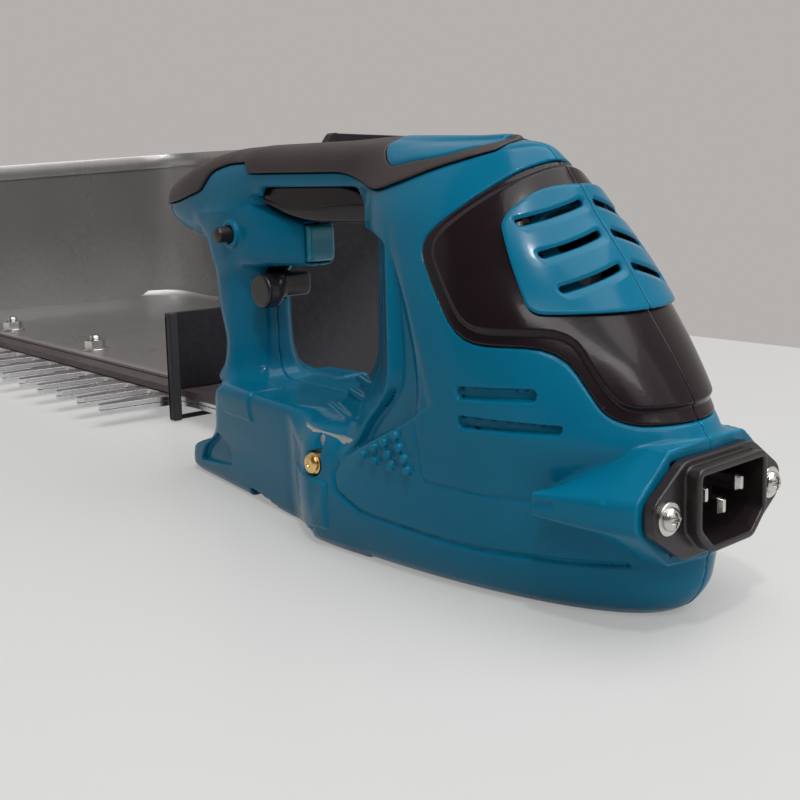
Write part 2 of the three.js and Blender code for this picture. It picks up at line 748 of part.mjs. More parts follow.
const rubberSkin = cut(keep(topForms(1), prismY(rubberOutline(0), -60, 60, 2)), topForms(-skinDepth));
const insetPrism = prismZ(insetOutline(0), insetFoot, 130, 2);
addPart('top_grip', cut(rubberSkin, prismZ(insetOutline(seatGap), insetFoot - seatGap, 130, 2)), 'rubber');
addPart('grip_inset', keep(cut(topForms(1.3), topForms(-skinDepth)), insetPrism), 'teal');

// Mains inlet
function inletOutline(growth) {
  return outline([
    [25 + growth, -3.2], [25 + growth, 3.2], [13.4 + growth, 11.3 + growth], [-13.4 - growth, 11.3 + growth],
    [-25 - growth, 3.2], [-25 - growth, -3.2], [-13.4 - growth, -11.3 - growth], [13.4 + growth, -11.3 - growth],
  ].map(([y, z]) => [y, inletHeight + z]), 2);
}

function cavityOutline(growth) {
  const w = 12.1 + growth;
  const h = 8.3 + growth;
  const chamfer = 4.6;
  return outline([
    [w, -h + chamfer], [w, h], [-w, h], [-w, -h + chamfer], [-w + chamfer, -h], [w - chamfer, -h],
  ].map(([y, z]) => [y, inletHeight + z]), 0.8);
}

const flangeFace = bossFace - flangeThickness;
const shroudFace = flangeFace - 3.6;
const cavityFloor = -88;
const inletBody = cut(
  join(prismX(inletOutline(0), flangeFace, bossFace, 2), prismX(cavityOutline(1.6), shroudFace, cavityFloor + 3, 2)),
  prismX(cavityOutline(0), shroudFace - 1, cavityFloor, 2),
  rod('x', [20, inletHeight], 1.8, -110, -80, 1.8, 10),
  rod('x', [-20, inletHeight], 1.8, -110, -80, 1.8, 10),
  ...[[7, 2.6], [-7, 2.6], [0, -1.4]].map(([y, z]) =>
    block(cavityFloor - 1, cavityFloor + 5, y - 1.3, y + 1.3, inletHeight + z - 2.3, inletHeight + z + 2.3)),
);
addPart('inlet_body', inletBody, 'black');

const pinLength = 11.5;
const pinPlaces = [[7, 2.6], [-7, 2.6], [0, -1.4]];
addPart('inlet_pins', join(
  block(cavityFloor + 3.3, cavityFloor + 5.3, -8, 8, inletHeight - 3.4, inletHeight + 4.6),
  ...pinPlaces.map(([y, z]) => block(
    cavityFloor - pinLength, cavityFloor + 4, y - 1, y + 1, inletHeight + z - 2, inletHeight + z + 2)),
), 'steel');

const washerThickness = 0.8;
const washerFace = flangeFace - washerThickness;

function domedHead(x, y, z, radius, height) {
  const profile = [[0, 0], [radius, 0], [radius, height * 0.35], [radius * 0.86, height * 0.7],
    [radius * 0.5, height * 0.93], [0, height]].map(([r, h]) => new THREE.Vector2(r, h));
  const geometry = new THREE.LatheGeometry(profile, 16);
  geometry.rotateZ(Math.PI / 2);
  geometry.translate(x, y, z);
  return solid(geometry);
}

for (const [side, y] of [['left', 20], ['right', -20]]) {
  addPart(`inlet_washer_${side}`, cut(
    rod('x', [y, inletHeight], 4.3, washerFace, flangeFace, 4.3, 20),
    rod('x', [y, inletHeight], 2, washerFace - 1, flangeFace + 1, 2, 12)), 'steel');
  addPart(`inlet_screw_${side}`, join(
    domedHead(washerFace, y, inletHeight, 3.1, 2.1),
    rod('x', [y, inletHeight], 1.5, washerFace - 0.01, -90, 1.5, 10)), 'steel');
}

// Grease nipple on the left of the gear case
const nippleSeat = bodyHalfWidth - wall;
addPart('grease_nipple', join(
  rod('y', nippleCentre, 1.9, nippleSeat - nippleShank, nippleSeat + 0.1, 1.9, 12),
  rod('y', nippleCentre, 3.1, nippleSeat, nippleSeat + 3.6, 2.5, 14)), 'brass');

// Screws that close the body
housingScrews.forEach(([x, z], index) => addPart(`housing_screw_${index + 1}`, join(
  rod('y', [x, z], screwRadius, -screwSeat, 10, screwRadius, 8),
  rod('y', [x, z], screwHeadRadius, -screwSeat - screwHeadDepth, -screwSeat, screwHeadRadius, 12)), 'steel'));

// Spur gear: straight flanks, thinned for backlash. Turn places a tooth on +X or a gap there.
function spurOutline(teeth, turn) {
  const pitch = (teethModule * teeth) / 2;
  const step = (2 * Math.PI) / teeth;
  const shape = new THREE.Shape();
  const flanks = [[-0.33, -1.2], [-0.1, 0.95], [0.1, 0.95], [0.33, -1.2]];
  for (let i = 0; i < teeth; i++) {
    for (const [share, height] of flanks) {
      const angle = turn + (i + share) * step;
      const radius = pitch + height * teethModule;
      const point = [radius * Math.cos(angle), radius * Math.sin(angle)];
      if (i === 0 && share === flanks[0][0]) shape.moveTo(...point);
      else shape.lineTo(...point);
    }
  }
  shape.closePath();
  return shape;
}

const gearGapToMotor = Math.PI / gearTeeth;
const gearBlank = cut(
  prismZ(spurOutline(gearTeeth, gearGapToMotor), gearZ, gearZ + gearThickness),
  rod('z', gearCentre, shaftRadius + 1 + seatGap, gearZ - 1, gearZ + gearThickness + 1, shaftRadius + 1 + seatGap, 20),
  ...[0, 1, 2, 3, 4].map((k) => {
    const turn = (2 * Math.PI * k) / 5;
    return rod('z', [17 * Math.cos(turn), 17 * Math.sin(turn)], 5, gearZ - 1, gearZ + gearThickness + 1, 5, 8);
  }),
);
addPart('drive_gear', gearBlank, 'steel');

// Gear shaft with its two cams, half a turn apart
const shaftTop = caseTop - 1.4;
addPart('cam_shaft', join(
  rod('z', gearCentre, shaftRadius + 1, caseCoverZ - 0.6, shaftTop, shaftRadius + 1, 20),
  rod('z', gearCentre, shaftRadius, solePlateThickness + 0.6, caseCoverZ, shaftRadius, 20),
  rod('z', [0, stroke], camRadius, upperBladeZ + 0.1, upperBladeZ + bladeThickness - 0.1, camRadius, 20),
  rod('z', [0, -stroke], camRadius, lowerBladeZ + 0.1, lowerBladeZ + bladeThickness - 0.1, camRadius, 20),
), 'steel');

const pinionShaft = 3.6;
addPart('pinion', translatedZ(cut(
  prismZ(spurOutline(pinionTeeth, 0), gearZ - 0.6, gearZ - 0.6 + pinionThickness),
  rod('z', gearCentre, pinionShaft + seatGap, 0, 60, pinionShaft + seatGap, 16),
), motorX), 'steel');

function translatedZ(body, x) {
  return body.translate([x, 0, 0]);
}

// Gear case: fills the base between its cover and the deck, with a pocket for the gears.
const caseForm = keep(
  join(rearBody(-wall - seatGap), frontBase(-wall - seatGap)),
  block(-62, 76, -40, 40, caseCoverZ, caseTop),
);
const pinionPocket = pinionRadius + teethModule + 0.9;
const casePocket = join(
  rod('z', gearCentre, gearPocket, caseZ - 1, caseTop - caseRoof, gearPocket, 40),
  rod('z', motorCentre, pinionPocket, caseZ - 1, caseTop - caseRoof, pinionPocket, 20),
);
const shaftBearingOuter = 8.5;
const gearCase = cut(
  keep(caseForm, block(-62, 52, -40, 40, caseZ + 0.05, caseTop)),
  casePocket,
  rod('z', gearCentre, shaftBearingOuter + 0.05, caseTop - caseRoof - 1, caseTop + 1, shaftBearingOuter + 0.05, 24),
  rod('z', motorCentre, bearingOuter + 0.05, caseTop - caseRoof - 1, caseTop + 1, bearingOuter + 0.05, 24),
  rod('y', nippleCentre, 2.3, nippleSeat - nippleShank - 1, 40, 2.3, 12),
);
addPart('gear_case', gearCase, 'castMetal');
const caseCover = cut(
  keep(caseForm, block(-62, 76, -40, 40, caseCoverZ, caseZ - 0.05)),
  rod('z', gearCentre, shaftBearingOuter + 0.05, caseCoverZ - 1, caseZ + 1, shaftBearingOuter + 0.05, 24),
);
addPart('gear_case_cover', caseCover, 'castMetal');
const ballBearing = (z0, z1) => ringZ(gearCentre, shaftBearingOuter, shaftRadius + 1 + 0.06, z0, z1);
addPart('lower_shaft_bearing', ballBearing(caseCoverZ + 0.1, caseZ - 0.15), 'steel');
addPart('upper_shaft_bearing', ballBearing(caseTop - caseRoof + 0.1, caseTop - 0.1), 'steel');
addPart('lower_motor_bearing', ringZ(motorCentre, bearingOuter, shaftRadius + 0.06,
  caseTop - caseRoof + 0.1, caseTop - 0.1), 'steel');
addPart('sole_plate', prismZ(solePlateOutline(0), 0, solePlateThickness), 'castMetal');

// Comb blades. The tang has a window for its cam; its corner clears the cam at every angle.
const tangEnd = -26;
const tangHalf = 19;
const windowHalfX = camRadius + 2 * stroke + runningGap;
const windowHalfY = camRadius + stroke + runningGap;
const bladeEnd = firstTooth + toothPitch * (toothCount - 1) + 14;

function bladeBody(z) {
  const comb = [];
  comb.push([tangEnd, tangHalf, 4], [24, tangHalf, 6], [60, -6, 10], [96, bladeRoot - 3, 8]);
  comb.push([firstTooth - toothPitch * 0.7, bladeRoot - 3]);
  for (let i = 0; i < toothCount; i++) {
    const x = firstTooth + i * toothPitch;
    comb.push([x - toothRootWidth / 2, bladeRoot], [x - toothTipWidth / 2, bladeRoot + toothLength - 1.5]);
    comb.push([x, bladeRoot + toothLength], [x + toothTipWidth / 2, bladeRoot + toothLength - 1.5]);
    comb.push([x + toothRootWidth / 2, bladeRoot]);
  }
  comb.push([bladeEnd, bladeRoot], [bladeEnd, bladeBack, 4], [88, bladeBack, 6], [36, -tangHalf, 10]);
  comb.push([tangEnd, -tangHalf, 4]);
  const plate = prismZ(outline(comb), z, z + bladeThickness, 3);
  const camWindow = block(-windowHalfX, windowHalfX, -windowHalfY, windowHalfY, z - 1, z + bladeThickness + 1);
  const slotHalf = stroke + boltRadius + 0.4;
  const slots = boltPositions.map((x) => prismZ(outline([
    [x - slotHalf, boltY - boltRadius - 0.4], [x + slotHalf, boltY - boltRadius - 0.4],
    [x + slotHalf, boltY + boltRadius + 0.4], [x - slotHalf, boltY + boltRadius + 0.4],
  ], boltRadius), z - 1, z + bladeThickness + 1, 3));
  return cut(plate, camWindow, ...slots);
}

addPart('upper_blade', bladeBody(upperBladeZ), 'steel');
addPart('lower_blade', bladeBody(lowerBladeZ), 'steel');

// Blade bar: fixed above the blades, bolted under the case cover and along the blades
const barOutline = outline([
  [44, 12, 4], [70, 12, 6], [100, bladeRoot - 1, 8], [bladeEnd + 4, bladeRoot - 1, 3], [bladeEnd + 4, bladeBack + 2, 3],
  [84, bladeBack + 2, 8], [44, -16, 6],
]);
const barBoltPositions = [[54, -8], [54, 6]];
const tongueBoltRadius = 2;
const bladeBar = cut(
  prismZ(barOutline, barZ, barZ + barThickness, 3),
  ...boltPositions.map((x) => rod('z', [x, boltY], boltRadius + 0.3, barZ - 1, barZ + 5, boltRadius + 0.3, 14)),
  ...barBoltPositions.map((at) => rod('z', at, tongueBoltRadius + 0.3, barZ - 1, barZ + 5, tongueBoltRadius + 0.3, 12)),
);
addPart('blade_bar', bladeBar, 'barMetal');

// Bolts up through the blades, the bar and the tray floor, with nuts on the floor
const boltHeadZ = lowerBladeZ - seatGap;
const floorTop = floorZ + sheet;
boltPositions.forEach((x, index) => addPart(`blade_bolt_${index + 1}`, join(
  rod('z', [x, boltY], 6, boltHeadZ - 2.4, boltHeadZ, 6, 6),
  rod('z', [x, boltY], boltRadius, boltHeadZ - 0.01, floorTop + 8, boltRadius, 12)), 'steel'));

function nut(x, y, z) {
  return cut(
    join(
      rod('z', [x, y], 7, z, z + 1.1, 7, 14),
      rod('z', [x, y], 5.6, z + 1.1, z + 5.4, 5.6, 6),
    ),
    rod('z', [x, y], boltRadius + 0.25, z - 1, z + 8, boltRadius + 0.25, 12),
  );
}

boltPositions.forEach((x, index) => addPart(`tray_nut_${index + 1}`, nut(x, boltY, floorTop), 'steel'));

// Tray floor: flat on the bar, with a ramp up to the far end
const rampLength = 32;
const rampRise = 6;
const floorBackEdge = trayBack + sheet + seatGap;
const floorFar = trayEnd - sheet - seatGap;
const floorSection = outline([
  [plateX + plateThickness + seatGap, floorZ], [floorFar - rampLength, floorZ], [floorFar, floorZ + rampRise],
  [floorFar, floorZ + rampRise + sheet], [floorFar - rampLength, floorZ + sheet],
  [plateX + plateThickness + seatGap, floorZ + sheet],
]);
const floorPlan = outline([
  [plateX, bladeRoot - 10], [trayEnd, bladeRoot - 10], [floorFar, floorBackEdge, trayCorner], [plateX, floorBackEdge, 12],
]);
const trayFloor = cut(
  keep(prismY(floorSection, trayBack, 0), prismZ(floorPlan, 0, 60, 5)),
  ...boltPositions.map((x) => rod('z', [x, boltY], boltRadius + 0.3, floorZ - 1, floorZ + 5, boltRadius + 0.3, 14)),
);
addPart('tray_floor', trayFloor, 'trayMetal');

// Tray wall: one sheet round the back and the far end, standing on the table
const wallOuter = outline([
  [plateX + plateThickness + seatGap, trayFront - 6], [trayEnd, trayFront - 6], [trayEnd, trayBack, trayCorner],
  [plateX + plateThickness + seatGap, trayBack],
]);
const wallInner = outline([
  [plateX - 20, 20], [trayEnd - sheet, 20], [trayEnd - sheet, trayBack + sheet, trayCorner - sheet],
  [plateX - 20, trayBack + sheet],
]);
const wallTopSlope = prismX(outline([
  [trayBack - 5, -1], [trayFront, -1], [trayFront, trayHeight - 10], [trayBack, trayHeight], [trayBack - 5, trayHeight],
]), plateX - 10, trayEnd + 10);
const bladeGap = block(trayEnd - 20, trayEnd + 5, bladeBack - 3, 0, lowerBladeZ - 4, floorZ - 0.2);
const trayWall = cut(
  keep(cut(prismZ(wallOuter, 0, trayHeight, 6), prismZ(wallInner, -1, trayHeight + 1, 6)), wallTopSlope),
  bladeGap,
);
addPart('tray_wall', trayWall, 'trayMetal');

// Near end plate: low beside the body, tall behind, its front edge hemmed
const plateOutline = outline([
  [trayBack, 0], [trayFront, 0, 1], [trayFront, lowPlateHeight, 2], [-48, lowPlateHeight, 4],
  [-108, trayHeight + 1.5, 5], [trayBack, trayHeight - 1, 8],
]);
const hemOutline = outline([
  [trayFront - 5, 0.2], [trayFront, 0.2], [trayFront, lowPlateHeight], [trayFront - 5, lowPlateHeight],
], 0.8);
const highHem = outline([
  [-108, trayHeight + 1.5, 2], [-112, trayHeight + 1.5, 2], [-56, lowPlateHeight, 1], [-48, lowPlateHeight, 1],
]);
const hemDepth = 4.6;
const plateNotch = block(plateX - 10, plateX + 10, bladeBack - 1.5, bladeRoot + 0.8, boltHeadZ - 3.2, barZ + barThickness + 0.2);
addPart('near_end_plate', cut(
  join(
    prismX(plateOutline, plateX, plateX + plateThickness, 3),
    prismX(hemOutline, plateX - hemDepth + plateThickness, plateX + plateThickness, 2),
    prismX(highHem, plateX - hemDepth + plateThickness, plateX + plateThickness, 2),
  ),
  plateNotch,
), 'platePaint');

// Motor
const ringRibs = 0.05;
addPart('motor_stator', join(
  ringZ(motorCentre, statorRadius, statorBore, statorBottom, statorTop, 18),
  ringZ(motorCentre, statorRadius - 2.5, statorBore + 0.4, statorTop - ringRibs, statorTop + 3, 18),
  ringZ(motorCentre, statorRadius - 2.5, statorBore + 0.4, statorBottom - 3, statorBottom + ringRibs, 18),
), 'castMetal');

const commutatorZ = [84.6, 91.4];
const armatureProfile = [
  [0, gearZ - 0.6], [pinionShaft, gearZ - 0.6], [pinionShaft, gearZ + pinionThickness - 0.4],
  [shaftRadius, gearZ + pinionThickness - 0.4], [shaftRadius, 47.5], [11, 48], [12.5, 50.5], [coreRadius, 51],
  [coreRadius, 79], [12.5, 79.5], [11, 82.5], [shaftRadius + 1, 83], [shaftRadius + 1, commutatorZ[0]],
  [8, commutatorZ[0]], [8, commutatorZ[1]], [shaftRadius, commutatorZ[1]], [shaftRadius, bracketZ + 6.4],
  [0, bracketZ + 6.4],
];
const armatureTurned = new THREE.LatheGeometry(armatureProfile.map(([r, z]) => new THREE.Vector2(r, z)), 16);
armatureTurned.rotateX(Math.PI / 2);
armatureTurned.translate(motorX, 0, 0);
addPart('armature', solid(armatureTurned), 'copper');

// Fan: a disc with straight blades on its underside
const fanRadius = 20;
const fanTop = statorBottom - 3.6;
const fanFoot = deckHeight + 1.2;
const fanBladeCount = 12;
const fanBladeHeight = fanTop - fanFoot - 1.2;
function fan() {
  const blades = [];
  for (let k = 0; k < fanBladeCount; k++) {
    const geometry = new THREE.BoxGeometry(fanRadius - 8, 1.2, fanBladeHeight);
    geometry.translate(fanRadius / 2 + 3.6, 0, fanTop - 1.2 - fanBladeHeight / 2);
    geometry.rotateZ((2 * Math.PI * k) / fanBladeCount);
    blades.push(solid(geometry));
  }
  const disc = rod('z', gearCentre, fanRadius, fanTop - 1.5, fanTop, fanRadius, 30);
  const hub = rod('z', gearCentre, 7.8, fanFoot, fanTop, 7.8, 18);
  const bore = rod('z', gearCentre, shaftRadius + seatGap, 0, 100, shaftRadius + seatGap, 18);
  return cut(join(disc, hub, ...blades), bore).translate([motorX, 0, 0]);
}
addPart('cooling_fan', fan(), 'black');

const bracket = cut(
  join(
    rod('z', motorCentre, statorRadius - 0.5, bracketZ, bracketZ + 3, statorRadius - 0.5, 20),
    rod('z', motorCentre, bearingOuter + 1.6, bracketZ, bracketZ + 5.6, bearingOuter + 1.6, 24),
  ),
  rod('z', motorCentre, bearingOuter + 0.05, bracketZ + 0.8, bracketZ + 8, bearingOuter + 0.05, 24),
  rod('z', motorCentre, shaftRadius + 1.2, bracketZ - 1, bracketZ + 8, shaftRadius + 1.2, 18),
);
addPart('bearing_bracket', keep(bracket, rearBody(-wall - seatGap)), 'black');
addPart('upper_motor_bearing', ringZ(motorCentre, bearingOuter, shaftRadius + 0.06, bracketZ + 1, bracketZ + 5.4), 'steel');

// Brushes either side of the commutator, in holders that hang from the bracket
const brushHalf = 2.3;
const brushFoot = 8.35;
const holderTop = bracketZ - 0.2;
function brushHolder() {
  const guides = block(motorX - brushHalf - 1.4, motorX + brushHalf + 1.4, -19, 19, commutatorZ[0] - 0.4, holderTop);
  const channel = block(motorX - brushHalf - 0.2, motorX + brushHalf + 0.2, -30, 30,
    commutatorZ[0] + 0.8, commutatorZ[1] - 0.6);
  const plate = rod('z', motorCentre, 19, commutatorZ[1] + 0.3, holderTop, 19, 28);
  const middle = rod('z', motorCentre, brushFoot + 1.4, 80, 100, brushFoot + 1.4, 24);
  return cut(join(guides, plate), channel, middle);
}
addPart('brush_holder', brushHolder(), 'brass');
for (const [side, sign] of [['left', 1], ['right', -1]]) {
  const brush = block(motorX - brushHalf, motorX + brushHalf, brushFoot, brushFoot + 9,
    commutatorZ[0] + 1, commutatorZ[1] - 0.8);
  addPart(`carbon_brush_${side}`, sign > 0 ? brush : mirror(brush), 'black');
}

// Squeeze lever: a long shell under the grip that swings on a pin at its front
const leverSide = outline([
  [12.4, 90.6, 2], [12.4, 96.5, 3], [19.5, 100.6, 4], [27, 102, 3], [64, 102, 3], [68.6, 99.5, 2],
  [69.2, 96.6, 2], [58.5, 93.2, 5], [44, 90.6, 6],
]);
const leverTongue = outline([
  [62, 95.5], [leverPivot[0], leverPivot[1] - 2.9], [leverPivot[0] + 2.9, leverPivot[1] - 1],
  [leverPivot[0] + 2.9, leverPivot[1] + 1], [leverPivot[0], leverPivot[1] + 2.9], [62, 100.5],
], 1);
const squeezeLever = cut(
  join(
    keep(prismY(leverSide, -leverHalfWidth, leverHalfWidth, 3), leverRounding()),
    prismY(leverTongue, -5.9, 5.9, 2),
  ),
  rod('y', leverPivot, leverPinRadius + 0.3, -8, 8, leverPinRadius + 0.3, 10),
  block(30.5, 39.5, -4.5, 4.5, 100, 104),
);
addPart('squeeze_lever', squeezeLever, 'dark');

function leverRounding() {
  const rings = [5, 20, 40, 60, 75].map((x) => sectionX(x, leverHalfWidth, 89, 113, 3.2, 20));
  return loft(rings);
}

addPart('lever_pin', rod('y', leverPivot, leverPinRadius, -9.2, 9.2, leverPinRadius, 10), 'steel');

// A coil spring standing on the lever, as one helical wire
const coilSides = 8;
function coil(x, z0, z1, radius, wire, turns) {
  const rings = [];
  const steps = turns * coilSides;
  const rise = (z1 - z0 - 2 * wire) / steps;
  for (let i = 0; i <= steps; i++) {
    const turn = (2 * Math.PI * i) / coilSides;
    const ring = [];
    for (let k = 0; k < 4; k++) {
      const around = (2 * Math.PI * k) / 4;
      const r = radius + wire * Math.cos(around);
      ring.push([x + r * Math.cos(turn), r * Math.sin(turn), z0 + wire + rise * i + wire * Math.sin(around)]);
    }
    rings.push(ring);
  }
  return loft(rings);
}
const springSeat = 100 + seatGap;
addPart('lever_spring', coil(35, springSeat, gripTop - wall - 1, 3.2, 0.45, 4), 'steel');

// Trigger: a block that slides forward in the box, with a stem into the switch
const triggerSide = outline([
  [triggerFace, triggerLow, 3], [triggerFace + 17, triggerLow, 0.5], [triggerFace + 17, triggerHigh, 0.5],
  [triggerFace, triggerHigh, 2],
]);
const stemCentre = [0, 83];
const stemRadius = 2;
addPart('trigger', join(
  prismY(triggerSide, -triggerHalfWidth, triggerHalfWidth, 4),
  rod('x', stemCentre, stemRadius, triggerFace + 16, switchRear + 2.5, stemRadius, 12),
), 'teal');

const switchHalfWidth = 6.4;
addPart('switch_body', cut(
  block(switchRear, switchRear + 27, -switchHalfWidth, switchHalfWidth, triggerLow + 1.2, triggerHigh + 3),
  rod('x', stemCentre, stemRadius + 0.3, switchRear - 1, switchRear + 2.5 + triggerTravel + 1, stemRadius + 0.3, 12),
  block(leverPivot[0] - 4, leverPivot[0] + 4, -10, 10, triggerHigh + 1, 110),
), 'black');

// Lock button on the left, pushed in across the switch
const lockFlangeY = 9.2;
addPart('lock_button', join(
  rod('y', lockCentre, lockRadius, lockFlangeY, 19.2, lockRadius, 14),
  rod('y', lockCentre, lockRadius, 19.19, 20, lockRadius - 0.7, 14),
  rod('y', lockCentre, 3.8, lockFlangeY - 0.6, lockFlangeY + 0.2, 3.8, 14),
), 'black');

// Lock-off lever: round hub on the left, arm under the trigger, tongue into the post
const catchArm = outline([[64, 73, 1.5], [64, 64.8, 3.5], [74.4, 65.6], [74.4, 73]]);
const catchTongue = outline([
  [72, 66.8], [catchPivot[0], catchPivot[1] - 2.9], [catchPivot[0] + 2.9, catchPivot[1] - 1],
  [catchPivot[0] + 2.9, catchPivot[1] + 1], [catchPivot[0], catchPivot[1] + 2.9], [72, 72.9],
], 1);
const lockOffLever = cut(
  join(
    prismY(catchArm, -5.6, 6.2, 3),
    rod('y', [70, 67.3], 5.8, 5.4, 11.6, 5.8, 22),
    prismY(catchTongue, -3.4, 3.4, 2),
  ),
  rod('y', catchPivot, catchPinRadius + 0.3, -8, 8, catchPinRadius + 0.3, 10),
);
addPart('lock_off_lever', lockOffLever, 'black');
addPart('lock_off_pin', rod('y', catchPivot, catchPinRadius, -8, 8, catchPinRadius, 10), 'steel');

export default model;
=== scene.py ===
"""Looks of the electric leaf harvester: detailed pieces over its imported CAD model.

Shapes are worked out in millimetres, in the CAD frame: +X forward, +Y the tool's left, +Z up.
Rounded forms are fields, negative inside and close to a distance, turned into meshes on a grid.
Where fields meet, the last number given is the size of the rounding between them.
"""

import math

import bmesh
import bpy
import numpy as np
from mathutils import Matrix, Vector
from mathutils.geometry import tessellate_polygon


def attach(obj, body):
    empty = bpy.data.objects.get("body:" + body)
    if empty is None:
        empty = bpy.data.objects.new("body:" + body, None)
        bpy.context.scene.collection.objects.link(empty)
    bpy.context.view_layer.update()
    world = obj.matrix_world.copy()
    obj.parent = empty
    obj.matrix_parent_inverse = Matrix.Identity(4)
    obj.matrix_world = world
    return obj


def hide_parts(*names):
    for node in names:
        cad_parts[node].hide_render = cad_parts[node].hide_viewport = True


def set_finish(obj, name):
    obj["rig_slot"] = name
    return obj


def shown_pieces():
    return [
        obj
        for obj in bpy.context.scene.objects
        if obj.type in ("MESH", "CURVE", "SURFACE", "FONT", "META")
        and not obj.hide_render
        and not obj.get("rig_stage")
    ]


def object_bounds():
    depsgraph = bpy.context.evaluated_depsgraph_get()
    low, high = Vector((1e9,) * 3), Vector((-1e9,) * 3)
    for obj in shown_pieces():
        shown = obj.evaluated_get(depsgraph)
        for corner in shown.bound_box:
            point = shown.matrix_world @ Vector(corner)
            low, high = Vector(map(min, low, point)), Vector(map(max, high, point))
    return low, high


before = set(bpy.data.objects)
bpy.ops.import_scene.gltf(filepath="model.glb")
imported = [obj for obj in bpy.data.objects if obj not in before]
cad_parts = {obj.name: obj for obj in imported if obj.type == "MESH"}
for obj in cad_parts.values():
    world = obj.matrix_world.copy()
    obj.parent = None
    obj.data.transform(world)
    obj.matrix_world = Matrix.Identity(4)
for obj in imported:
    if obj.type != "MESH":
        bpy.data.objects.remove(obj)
cad_low, cad_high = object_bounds()
scene = bpy.context.scene

MM = 0.001
SEAT_GAP = 0.3
WALL = 2.5
SKIN = 1.2
TINY = 1e-6
NEVER_ZERO = 1e-9


# ---------------- tables and fields


def smooth_rows(rows, at):
    """Smooth values between the rows of a short table, whose first column is the position."""
    table = np.asarray(rows, float)
    xs, columns = table[:, 0], table[:, 1:]
    steps = np.diff(xs)[:, None]
    rates = np.diff(columns, axis=0) / steps
    slopes = np.zeros_like(columns)
    same = rates[:-1] * rates[1:] > 0
    before = 2 * steps[1:] + steps[:-1]
    after = steps[1:] + 2 * steps[:-1]
    rate_a, rate_b = np.where(same, rates[:-1], 1), np.where(same, rates[1:], 1)
    slopes[1:-1] = np.where(same, (before + after) / (before / rate_a + after / rate_b), 0)
    slopes[0], slopes[-1] = rates[0], rates[-1]
    held = np.clip(at, xs[0], xs[-1])
    i = np.clip(np.searchsorted(xs, held, side="right") - 1, 0, len(xs) - 2)
    width = xs[i + 1] - xs[i]
    t = (held - xs[i]) / width
    h00, h10 = 2 * t**3 - 3 * t**2 + 1, t**3 - 2 * t**2 + t
    h01, h11 = 3 * t**2 - 2 * t**3, t**3 - t**2
    return [
        value[i] * h00 + slope[i] * width * h10 + value[i + 1] * h01 + slope[i + 1] * width * h11
        for value, slope in zip(columns.T, slopes.T)
    ]


def smooth_min(a, b, k):
    h = np.clip(0.5 + 0.5 * (b - a) / k, 0, 1)
    return b + (a - b) * h - k * h * (1 - h)


def smooth_max(a, b, k):
    return -smooth_min(-a, -b, k)


def ease(value, start, end):
    """0 before start, 1 after end, smooth between."""
    t = np.clip((value - start) / (end - start), 0, 1)
    return t * t * (3 - 2 * t)


def trimmed(form, *limits):
    """A form within limits, each of them a field and the rounding of the edge it makes."""
    for limit, k in limits:
        form = smooth_max(form, limit, k)
    return form


def span(value, low, high, k=0.01):
    """Between two flat faces."""
    return smooth_max(low - value, value - high, k)


def box_field(x, y, z, low, high, k=0.3):
    """A block between two corners."""
    return trimmed(span(x, low[0], high[0]), (span(y, low[1], high[1]), k), (span(z, low[2], high[2]), k))


def round_field(u, v, centre, radius):
    return np.sqrt((u - centre[0]) ** 2 + (v - centre[1]) ** 2) - radius


def rod_y(x, y, z, centre, radius, low, high, k=0.3):
    """A cylinder along Y about a centre in side view."""
    return smooth_max(round_field(x, z, centre, radius), span(y, low, high), k)


def away_squared(start, end, *place):
    """Squared distance to the line between two points."""
    axes = [(p - a, b - a) for p, a, b in zip(place, start, end)]
    length = max(sum(way * way for _, way in axes), NEVER_ZERO)
    t = np.clip(sum(off * way for off, way in axes) / length, 0, 1)
    return sum((off - t * way) ** 2 for off, way in axes)


def capsule(x, y, z, start, end, radius):
    """A rod with round ends between two points."""
    return np.sqrt(away_squared(start, end, x, y, z)) - radius


def line_distance(points, u, v):
    """Distance to an open line of points."""
    best = np.inf
    for a, b in zip(points, points[1:]):
        best = np.minimum(best, away_squared(a, b, u, v))
    return np.sqrt(best)


def outline_field(points, u, v):
    """Distance to a closed outline, negative inside."""
    ring = [*points, points[0]]
    inside = np.zeros(np.broadcast(u, v).shape, bool)
    for (u0, v0), (u1, v1) in zip(ring, ring[1:]):
        if v0 != v1:
            inside = inside ^ (((v0 > v) != (v1 > v)) & (u < u0 + (v - v0) * (u1 - u0) / (v1 - v0)))
    distance = line_distance(ring, u, v)
    return np.where(inside, -distance, distance)


CORNER_SHARE = 0.45
LEAST_CORNER = 0.05


def outline(corners, radius=0.0, samples=5):
    """Points round a closed outline with rounded corners: each corner is (u, v) or (u, v, radius)."""
    points = []
    places = np.array([corner[:2] for corner in corners], float)
    for i, here in enumerate(places):
        before, after = places[i - 1] - here, places[(i + 1) % len(places)] - here
        back, ahead = np.linalg.norm(before), np.linalg.norm(after)
        wanted = corners[i][2] if len(corners[i]) > 2 else radius
        reach = min(wanted, back * CORNER_SHARE, ahead * CORNER_SHARE)
        if reach < LEAST_CORNER:
            points.append(tuple(here))
            continue
        start, end = here + before / back * reach, here + after / ahead * reach
        for s in np.linspace(0, 1, samples):
            points.append(tuple((1 - s) ** 2 * start + 2 * s * (1 - s) * here + s * s * end))
    return points


TABLE_STEP = 0.25
TABLE_LOW, TABLE_HIGH = (-100, -6), (150, 122)


